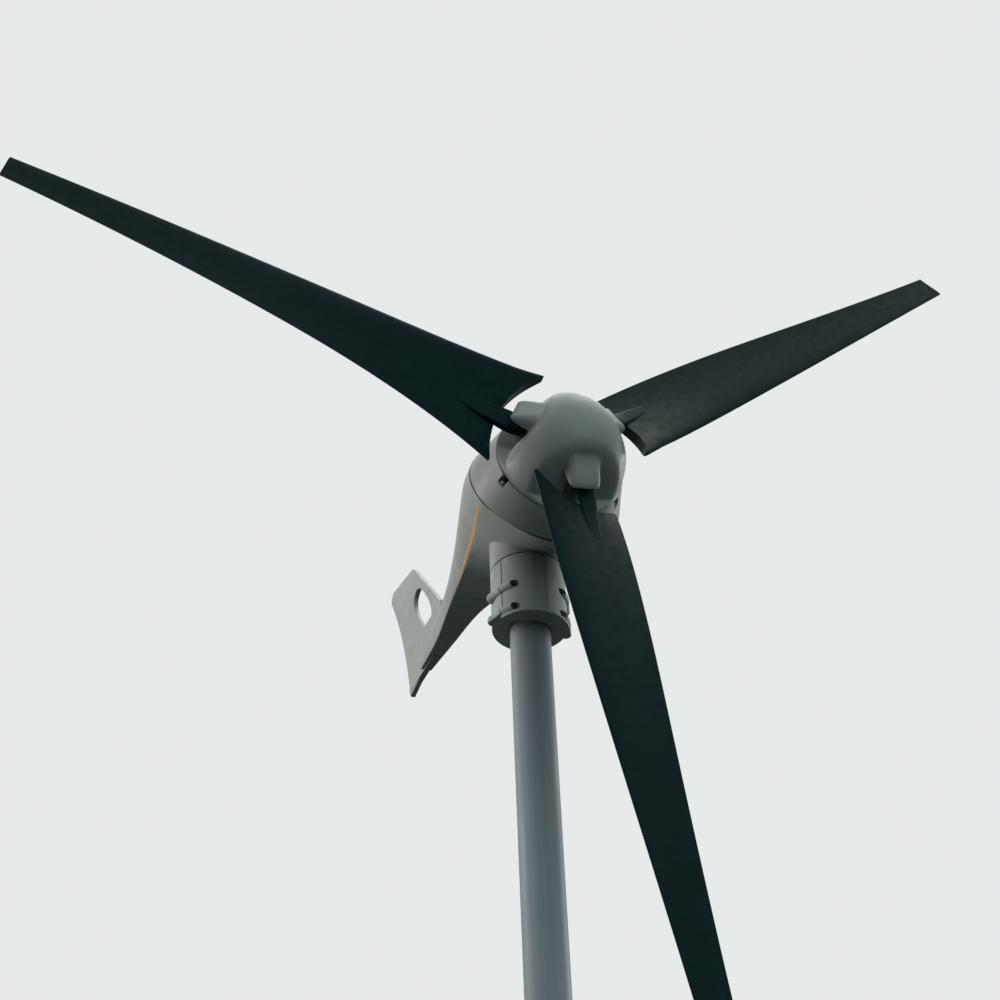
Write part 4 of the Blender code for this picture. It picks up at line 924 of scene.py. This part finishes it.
def blade_section(reach):
    """An aerofoil at a distance from the rotor axis: X to the leading edge, -Y ahead, Z outward."""
    part = (reach - 0.070) / (ROTOR_RADIUS - 0.070)
    lead = 0.0485 - 0.0343 * max(part, 0) ** 1.15 + ROOT_FLARE * ease((0.078 - reach) / 0.032)
    trail = -0.0141 - 0.0273 * (1 - part) ** 1.75
    twist = math.radians(1.5 + 20 * (1 - part) ** 4.5)
    if part < 0.4:
        middle = 0.005 - 0.0085 * (1 - part / 0.4) ** 2
    else:
        middle = 0.005 - 0.006 * ((part - 0.4) / 0.6) ** 2
    chord = (lead - trail) / math.cos(twist)
    thickness = 0.115 - 0.02 * part
    upper = []
    lower = []
    for i in range(AEROFOIL_STEPS + 1):
        along = 0.5 - 0.5 * math.cos(HALF_TURN * i / AEROFOIL_STEPS)
        half = 5 * thickness * (0.2969 * math.sqrt(along) - 0.1260 * along - 0.3516 * along ** 2
                                + 0.2843 * along ** 3 - 0.0950 * along ** 4)
        camber = 0.12 * along * (1 - along)
        upper.append((along, camber + half))
        lower.append((along, camber - half))
    points = []
    for along, height in upper + lower[-1:0:-1]:
        x = (0.5 - along) * chord
        y = height * chord
        points.append(((lead + trail) / 2 + x * math.cos(twist) + y * math.sin(twist),
                       -middle - x * math.sin(twist) + y * math.cos(twist), reach))
    return points


def root_corner(edge, radius):
    """A corner fillet between an upright edge and the root arc: its centre and its turn towards the arc."""
    x = edge - math.copysign(radius, edge)
    reach = ROOT_CUT_RADIUS + radius
    height = ROOT_CUT_REACH + math.sqrt(reach ** 2 - (x - ROOT_CUT_LEAD) ** 2)
    return x, height, math.degrees(math.atan2(ROOT_CUT_REACH - height, ROOT_CUT_LEAD - x))


def root_outline():
    """An outline that holds the whole blade and rounds the two corners of its root."""
    lead_x, lead_y, lead_turn = root_corner(ROOT_LEAD_EDGE, ROOT_LEAD_ROUND)
    trail_x, trail_y, trail_turn = root_corner(ROOT_TRAIL_EDGE, ROOT_TRAIL_ROUND)
    points = [(0.060, 0.62), (0.060, 0.100), (ROOT_LEAD_EDGE, 0.085)]
    for i in range(9):
        x, y = polar(ROOT_LEAD_ROUND, lead_turn * i / 8)
        points.append((lead_x + x, lead_y + y))
    for i in range(1, 32):
        x, y = polar(ROOT_CUT_RADIUS, lead_turn + 180 + (trail_turn - lead_turn) * i / 32)
        points.append((ROOT_CUT_LEAD + x, ROOT_CUT_REACH + y))
    for i in range(9):
        x, y = polar(ROOT_TRAIL_ROUND, trail_turn + (-180 - trail_turn) * i / 8)
        points.append((trail_x + x, trail_y + y))
    return points + [(ROOT_TRAIL_EDGE, 0.072), (-0.060, 0.100), (-0.060, 0.62)]


def build_blades(composite, screw):
    start = 0.040
    rows = [blade_section(start + (ROTOR_RADIUS - start) * (i / BLADE_STEPS) ** 1.25)
            for i in range(BLADE_STEPS + 1)]
    blade = skin("blade", rows)
    outline = slab("root_outline", [root_outline()], 0.16, 0.0, (0, 0, 0), FORWARD)
    tip = block("tip_trim", (0.08, 0.08, 0.02), (-0.004, 0, 0.59258), (0, math.radians(-10), 0))
    blade = shape_with(blade, cuts=[tip], keeps=[outline])
    blade = shape_with(blade, joins=[build_root()])
    holes = [rod("screw_hole", 0.0024, -0.02, 0.02, (0, 0, reach), FORWARD, 32)
             for reach in BLADE_SCREW_REACH]
    blade = shape_with(blade, cuts=holes)
    for number, angle in enumerate(BLADE_ANGLES):
        turn = Matrix.Translation(HUB) @ Matrix.Rotation(math.radians(angle), 4, "Y")
        mesh = blade.data.copy()
        mesh.transform(turn)
        item = bpy.data.objects.new(f"blade_skin_{number + 1}", mesh)
        bpy.context.scene.collection.objects.link(item)
        complete(item, "rotor", "blade_composite", composite, f"blade_{number + 1}")
    bpy.data.objects.remove(blade, do_unlink=True)
    number = 0
    for angle in BLADE_ANGLES:
        for reach in BLADE_SCREW_REACH:
            number += 1
            turn = math.radians(angle)
            place = (reach * math.sin(turn), 0, HUB.z + reach * math.cos(turn))
            item = socket_screw(f"blade_bolt_{number}", 0.0021, 0.0038, 0.0030, 0.0018, HUB_AHEAD + 0.006,
                                HUB_PLATE[0] + 0.0005, place, FORWARD)
            complete(item, "rotor", "zinc_screw", screw, f"blade_screw_{number}")


def build_root():
    """The blade's neck: a rounded bar that twists and thins into the blade."""
    # reach, half-width, half-thickness, step back, twist in degrees
    rows = ((0.015, 0.0090, 0.0055, 0.0, 0), (0.036, 0.0110, 0.0055, 0.0, 0),
            (0.060, 0.0105, 0.0045, 0.0040, 12), (0.084, 0.0085, 0.0026, 0.0040, 17),
            (0.110, 0.0050, 0.0005, 0.0020, 14))
    steps = 10
    sections = []
    for first, second in zip(rows, rows[1:]):
        for k in range(steps + (1 if second is rows[-1] else 0)):
            share = k / steps
            smooth = ease(share)
            reach = first[0] + (second[0] - first[0]) * share
            wide, thick, back, twist = (a + (b - a) * smooth for a, b in zip(first[1:], second[1:]))
            lean = math.radians(twist)
            section = []
            for i in range(40):
                x, y = polar(1.0, 9 * i)
                x = wide * math.copysign(abs(x) ** 0.45, x)
                y = thick * math.copysign(abs(y) ** 0.45, y)
                section.append((BLADE_ROOT_OFFSET + x * math.cos(lean) + y * math.sin(lean),
                                back - x * math.sin(lean) + y * math.cos(lean), reach))
            sections.append(section)
    return skin("blade_root", sections)


NOSE_SIDES = 240


def nose_radius(angle, ahead, shell=0.0):
    """The nose's radius at an angle clockwise from up: a dome with a flat and a hood over each blade."""
    past = ahead - RIM_AHEAD + shell
    along = past / NOSE_LENGTH
    radius = (RIM_RADIUS - RIM_LIP) * math.sqrt(max(1 - along * along, 0))
    radius += RIM_LIP * math.exp(-max(past, 0) / RIM_FLARE)
    flat = FLAT_DISTANCE - FLAT_TAPER * (past - FLAT_RAMP) + FLAT_STEP * (1 - ease(past / FLAT_RAMP))
    for blade in BLADE_ANGLES:
        lean = math.cos(math.radians(off_blade(angle, blade)))
        if lean > 0.15:
            radius = soft_least(radius, flat / lean, FLAT_BLEND)
    if shell or ahead < HOOD_REAR:
        return radius - shell
    for blade in BLADE_ANGLES:
        off = abs(off_blade(angle, blade))
        share = 1 - ease((ahead - HOOD_REAR) / HOOD_LENGTH)
        share *= 1 - ease((off - HOOD_HALF_ANGLE) / HOOD_FADE_ANGLE)
        if share > 0:
            radius += max(HOOD_REACH / math.cos(math.radians(off)) - radius, 0) * share
    return radius


def nose_section(ahead, shell=0.0, inset=0.0):
    points = []
    for i in range(NOSE_SIDES):
        angle = FIRST_BLADE_ANGLE + 360 / NOSE_SIDES * i
        x, rise = polar(nose_radius(angle, ahead, shell) - inset, 90 - angle)
        points.append(raised(x, -ahead, AXIS_RISE + rise))
    return points


def build_nose(paint):
    ramp = [0.0005 + (FLAT_RAMP - 0.0005) * i / 9 for i in range(10)]
    hood = HOOD_REAR - RIM_AHEAD
    before = [FLAT_RAMP + (hood - 0.0002 - FLAT_RAMP) * i / 20 for i in range(1, 21)]
    start = hood + 0.0006
    fall = math.degrees(math.asin(start / NOSE_LENGTH))
    after = [NOSE_LENGTH * math.sin(math.radians(fall + (88 - fall) * i / 64)) for i in range(65)]
    rows = [nose_section(RIM_AHEAD, 0.0, 0.0006)]
    rows += [nose_section(RIM_AHEAD + past) for past in ramp + before + after]
    tip = [raised(0, -RIM_AHEAD - after[-1], AXIS_RISE)]
    nose = skin("nose_shell", rows + [tip])
    room = [-0.004] + [NOSE_LENGTH * math.sin(math.radians(2.2 * i)) - NOSE_SHELL for i in range(1, 38)]
    inner = skin("nose_room", [nose_section(RIM_AHEAD + past, NOSE_SHELL) for past in room])
    cuts = [inner]
    for angle in BLADE_ANGLES:
        turn = math.radians(angle)
        length = 0.042
        height = 0.050
        radius = 0.0045
        half = SLOT_WIDTH / 2
        top = length / 2
        outline = rounded([(-half, -top, 0), (-half, top, radius), (half, top, radius), (half, -top, 0)], 8)
        centre = HUB + Matrix.Rotation(turn, 3, "Y") @ Vector((BLADE_ROOT_OFFSET, 0, 0.060))
        centre.y = -(SLOT_FRONT - length / 2)
        slot = slab("blade_slot", [outline], height, 0.0)
        slot.matrix_world = (Matrix.Translation(centre) @ Matrix.Rotation(turn, 4, "Y")
                             @ Matrix.Rotation(HALF_TURN, 4, "Z"))
        cuts.append(slot)
    nose = shape_with(nose, cuts=cuts)
    complete(nose, "rotor", "body_paint", paint, "nose_cone", sharp=38)


def build_hub(alloy, zinc):
    edge = 0.0006
    low, high = HUB_PLATE
    profile = rounded([(SHAFT_FIT, high, 0), (HUB_RADIUS, high, edge), (HUB_RADIUS, low, edge),
                       (SHAFT_FIT, low, 0)])
    hub = revolve("hub_disc", profile, raised(0, 0, AXIS_RISE), FORWARD, 128, looped=True)
    cuts = []
    for angle in BLADE_ANGLES:
        for reach in BLADE_SCREW_REACH:
            x, rise = polar(reach, 90 - angle)
            cuts.append(axis_rod("thread", 0.0024, 0.10, 0.14, 32, x, rise))
    hub = shape_with(hub, cuts=cuts)
    complete(hub, "rotor", "bare_alloy", alloy, "hub_plate")
    nut_radius = 0.0115
    corners = [(*polar(nut_radius, 60 * i), 0.0004) for i in range(7)] + [(*polar(nut_radius, 60), 0)]
    outline = rounded(corners, 3)[1:-1]
    nut = slab("shaft_nut", [outline, [polar(SHAFT_FIT, 360 / 48 * i) for i in range(48)]], 0.010, 0.0006,
               raised(0, -0.1268, AXIS_RISE), FORWARD)
    complete(nut, "rotor", "zinc_screw", zinc, "hub_nut")


# ---- brush springs ----
COIL_TURNS = 6
COIL_STEPS = 24
COIL_WIRE = 0.0003
BRUSH_JOINTS = ("brush_lower_travel", "brush_upper_travel")


def build_springs(steel):
    """A fine coil for each brush spring."""
    for number, joint in enumerate(BRUSH_JOINTS, 1):
        low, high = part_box(f"brush_spring_{number}")
        middle = (low + high) / 2
        radius = (high.x - low.x) / 2 - COIL_WIRE
        start, end = low.y + COIL_WIRE, high.y - COIL_WIRE
        rows = []
        for i in range(COIL_TURNS * COIL_STEPS + 1):
            turn = 2 * HALF_TURN * i / COIL_STEPS
            out = Vector((math.cos(turn), 0, math.sin(turn)))
            centre = Vector((middle.x, start + (end - start) * i / (COIL_TURNS * COIL_STEPS), middle.z))
            row = []
            for k in range(8):
                lift = HALF_TURN / 4 * k
                spot = out * math.cos(lift) + Vector((0, math.sin(lift), 0))
                row.append(tuple(centre + out * radius + spot * COIL_WIRE))
            rows.append(row)
        coil = skin(f"brush_coil_{number}", rows)
        complete(coil, "nacelle", "ground_steel", steel, f"brush_spring_{number}", sharp=60)
        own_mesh(coil)


# ---- stage, light and camera ----
VIEW_PLACE = (-0.4476, -1.1994, -0.9556)     # below the clamp, ahead and to the left, as (x, y, rise)
VIEW_TURN = -19.42                           # degrees from straight behind the nose
VIEW_RISE = 41.26
VIEW_ROLL = -2.15
VIEW_LENS = 61.82
FLOOR_RADIUS = 60.0
BACKDROP = (0.80, 0.82, 0.83, 1)


def build_camera():
    data = bpy.data.cameras.new("camera")
    data.lens = VIEW_LENS
    data.sensor_width = 36
    data.clip_start = 0.01
    camera = bpy.data.objects.new("camera", data)
    bpy.context.scene.collection.objects.link(camera)
    turn = math.radians(VIEW_TURN)
    rise = math.radians(VIEW_RISE)
    ahead = Vector((-math.sin(turn) * math.cos(rise), math.cos(turn) * math.cos(rise), math.sin(rise)))
    look = ahead.to_track_quat("-Z", "Y").to_matrix().to_4x4()
    camera.matrix_world = (Matrix.Translation(raised(*VIEW_PLACE)) @ look
                           @ Matrix.Rotation(math.radians(VIEW_ROLL), 4, "Z"))
    bpy.context.scene.camera = camera


def build_floor():
    """A pale floor that is seen from above only, so a camera below it still sees the turbine."""
    shape = bmesh.new()
    bmesh.ops.create_circle(shape, cap_ends=True, segments=96, radius=FLOOR_RADIUS)
    floor = add("floor", shape, (0, 0, -0.0005))
    f = Finish("floor_paper")
    tone = f.mixed(f.ranged(f.noise(2.0, 3.0), 0.3, 0.7), (0.030, 0.031, 0.031), (0.036, 0.037, 0.037))
    f.use(colour=tone, rough=0.85, normal=f.relief(f.noise(350.0, 4.0), 0.0002, 0.2))
    f.shader.inputs["Emission Color"].default_value = BACKDROP
    f.shader.inputs["Emission Strength"].default_value = 0.95
    dim = f.node("ShaderNodeBsdfDiffuse")
    dim.inputs["Color"].default_value = (0.045, 0.055, 0.055, 1)
    seen = f.node("ShaderNodeMixShader")
    f.link(f.node("ShaderNodeLightPath").outputs["Is Camera Ray"], seen.inputs[0])
    f.link(dim.outputs[0], seen.inputs[1])
    f.link(f.shader.outputs[0], seen.inputs[2])
    clear = f.node("ShaderNodeBsdfTransparent")
    choice = f.node("ShaderNodeMixShader")
    f.link(f.node("ShaderNodeNewGeometry").outputs["Backfacing"], choice.inputs[0])
    f.link(seen.outputs[0], choice.inputs[1])
    f.link(clear.outputs[0], choice.inputs[2])
    f.link(choice.outputs[0], f.output.inputs["Surface"])
    floor.data.materials.append(f.material)


def build_world():
    """A soft studio: bright above, dim below, and a plain pale backdrop to the camera."""
    world = bpy.data.worlds.new("studio")
    bpy.context.scene.world = world
    world.use_nodes = True
    tree = world.node_tree
    tree.nodes.clear()
    output = tree.nodes.new("ShaderNodeOutputWorld")
    coords = tree.nodes.new("ShaderNodeTexCoord")
    split = tree.nodes.new("ShaderNodeSeparateXYZ")
    tree.links.new(coords.outputs["Generated"], split.inputs[0])
    ramp = tree.nodes.new("ShaderNodeMapRange")
    ramp.interpolation_type = "SMOOTHSTEP"
    ramp.inputs["From Min"].default_value = -0.25
    ramp.inputs["From Max"].default_value = 0.95
    tree.links.new(split.outputs["Z"], ramp.inputs["Value"])
    tone = tree.nodes.new("ShaderNodeMix")
    tone.data_type = "RGBA"
    tone.inputs[6].default_value = (0.021, 0.037, 0.036, 1)
    tone.inputs[7].default_value = (0.92, 0.97, 1.0, 1)
    tree.links.new(ramp.outputs[0], tone.inputs[0])
    light = tree.nodes.new("ShaderNodeBackground")
    light.inputs["Strength"].default_value = 0.85
    tree.links.new(tone.outputs[2], light.inputs["Color"])
    backdrop = tree.nodes.new("ShaderNodeBackground")
    backdrop.inputs["Color"].default_value = BACKDROP
    path = tree.nodes.new("ShaderNodeLightPath")
    choice = tree.nodes.new("ShaderNodeMixShader")
    tree.links.new(path.outputs["Is Camera Ray"], choice.inputs[0])
    tree.links.new(light.outputs[0], choice.inputs[1])
    tree.links.new(backdrop.outputs[0], choice.inputs[2])
    tree.links.new(choice.outputs[0], output.inputs["Surface"])


def area_light(name, place, target, size, power, colour):
    data = bpy.data.lights.new(name, "AREA")
    data.shape = "DISK"
    data.size = size
    data.energy = power
    data.color = colour
    item = bpy.data.objects.new(name, data)
    bpy.context.scene.collection.objects.link(item)
    item.location = place
    item.rotation_euler = (Vector(target) - Vector(place)).to_track_quat("-Z", "Y").to_euler()


def build_lights():
    centre = raised(0, 0, AXIS_RISE)
    area_light("key", (0.4, 0.4, 3.1), centre, 2.2, 26, (1.0, 1.0, 0.98))
    area_light("left_rim", (-2.6, 1.5, 1.5), centre, 1.6, 51, (1.0, 0.95, 0.88))
    area_light("right_rim", (2.6, 0.7, 1.7), centre, 1.2, 16, (0.97, 1.0, 1.0))
    area_light("low_fill", (0.3, -2.9, 0.35), centre, 2.4, 21, (0.78, 1.0, 1.0))


# ---- all of it ----
def dress_nodes(finishes):
    """Give every CAD node still shown the procedural finish of its material slot."""
    for row in frame["record"]["subparts"]:
        node = frame["nodes"][row["node"]]
        if node.hide_render:
            continue
        node.data.materials.clear()
        node.data.materials.append(finishes[row["material_slot"]])


def build_all():
    paint = powder_coat("body_coat", (0.325, 0.350, 0.338), (0.165, 0.180, 0.170))
    casting = powder_coat("clamp_coat", (0.330, 0.378, 0.370), (0.150, 0.170, 0.165), 0.46)
    steel = weathered_mast("mast_coat")
    composite = moulded_blade("blade_moulding")
    screw = screw_finish("dark_screw")
    alloy = metal_finish("machined_alloy", (0.62, 0.63, 0.64), 0.36)
    finishes = {
        "body_paint": paint, "clamp_paint": casting, "mast_steel": steel, "blade_composite": composite,
        "zinc_screw": screw, "bare_alloy": alloy,
        "ground_steel": metal_finish("ground_steel", (0.52, 0.52, 0.53), 0.26, (0.05, 1.0, 1.0)),
        "bearing_steel": metal_finish("race_steel", (0.60, 0.61, 0.63), 0.16, (1.0, 0.05, 1.0)),
        "cage_brass": metal_finish("pressed_brass", (0.70, 0.48, 0.20), 0.32),
        "bush_bronze": metal_finish("sintered_bronze", (0.50, 0.32, 0.15), 0.48, scale=2400.0),
        "seal_rubber": plastic_finish("black_rubber", (0.014, 0.014, 0.015), 0.72, 2000.0),
        "moulded_plastic": plastic_finish("black_moulding", (0.022, 0.022, 0.024), 0.50),
        "brush_carbon": plastic_finish("graphite", (0.040, 0.040, 0.043), 0.42, 2600.0),
        "bare_copper": wound_copper("enamelled_copper"),
        "stator_steel": laminated_steel("lamination_stack"),
        "magnet_nickel": metal_finish("nickel_plate", (0.60, 0.59, 0.55), 0.22),
        "core_iron": metal_finish("turned_iron", (0.20, 0.20, 0.21), 0.45, (1.0, 0.04, 1.0)),
        "circuit_board": printed_board("solder_resist"),
        "capacitor_sleeve": plastic_finish("shrink_sleeve", (0.016, 0.017, 0.030), 0.30),
        "red_jacket": plastic_finish("red_insulation", (0.42, 0.016, 0.014), 0.40),
        "black_jacket": plastic_finish("black_insulation", (0.012, 0.012, 0.013), 0.40),
    }
    build_mast(steel)
    build_clamp(casting, screw)
    build_body(paint)
    build_stripe(accent_line("accent_paint", STRIPE_LENGTH, STRIPE_START))
    build_face(paint, screw)
    build_fin(paint, screw)
    build_hub(alloy, screw)
    build_blades(composite, screw)
    build_nose(paint)
    build_springs(finishes["ground_steel"])
    dress_nodes(finishes)
    build_floor()
    build_world()
    build_lights()
    build_camera()


build_all()
bpy.context.scene.view_settings.view_transform = "Standard"
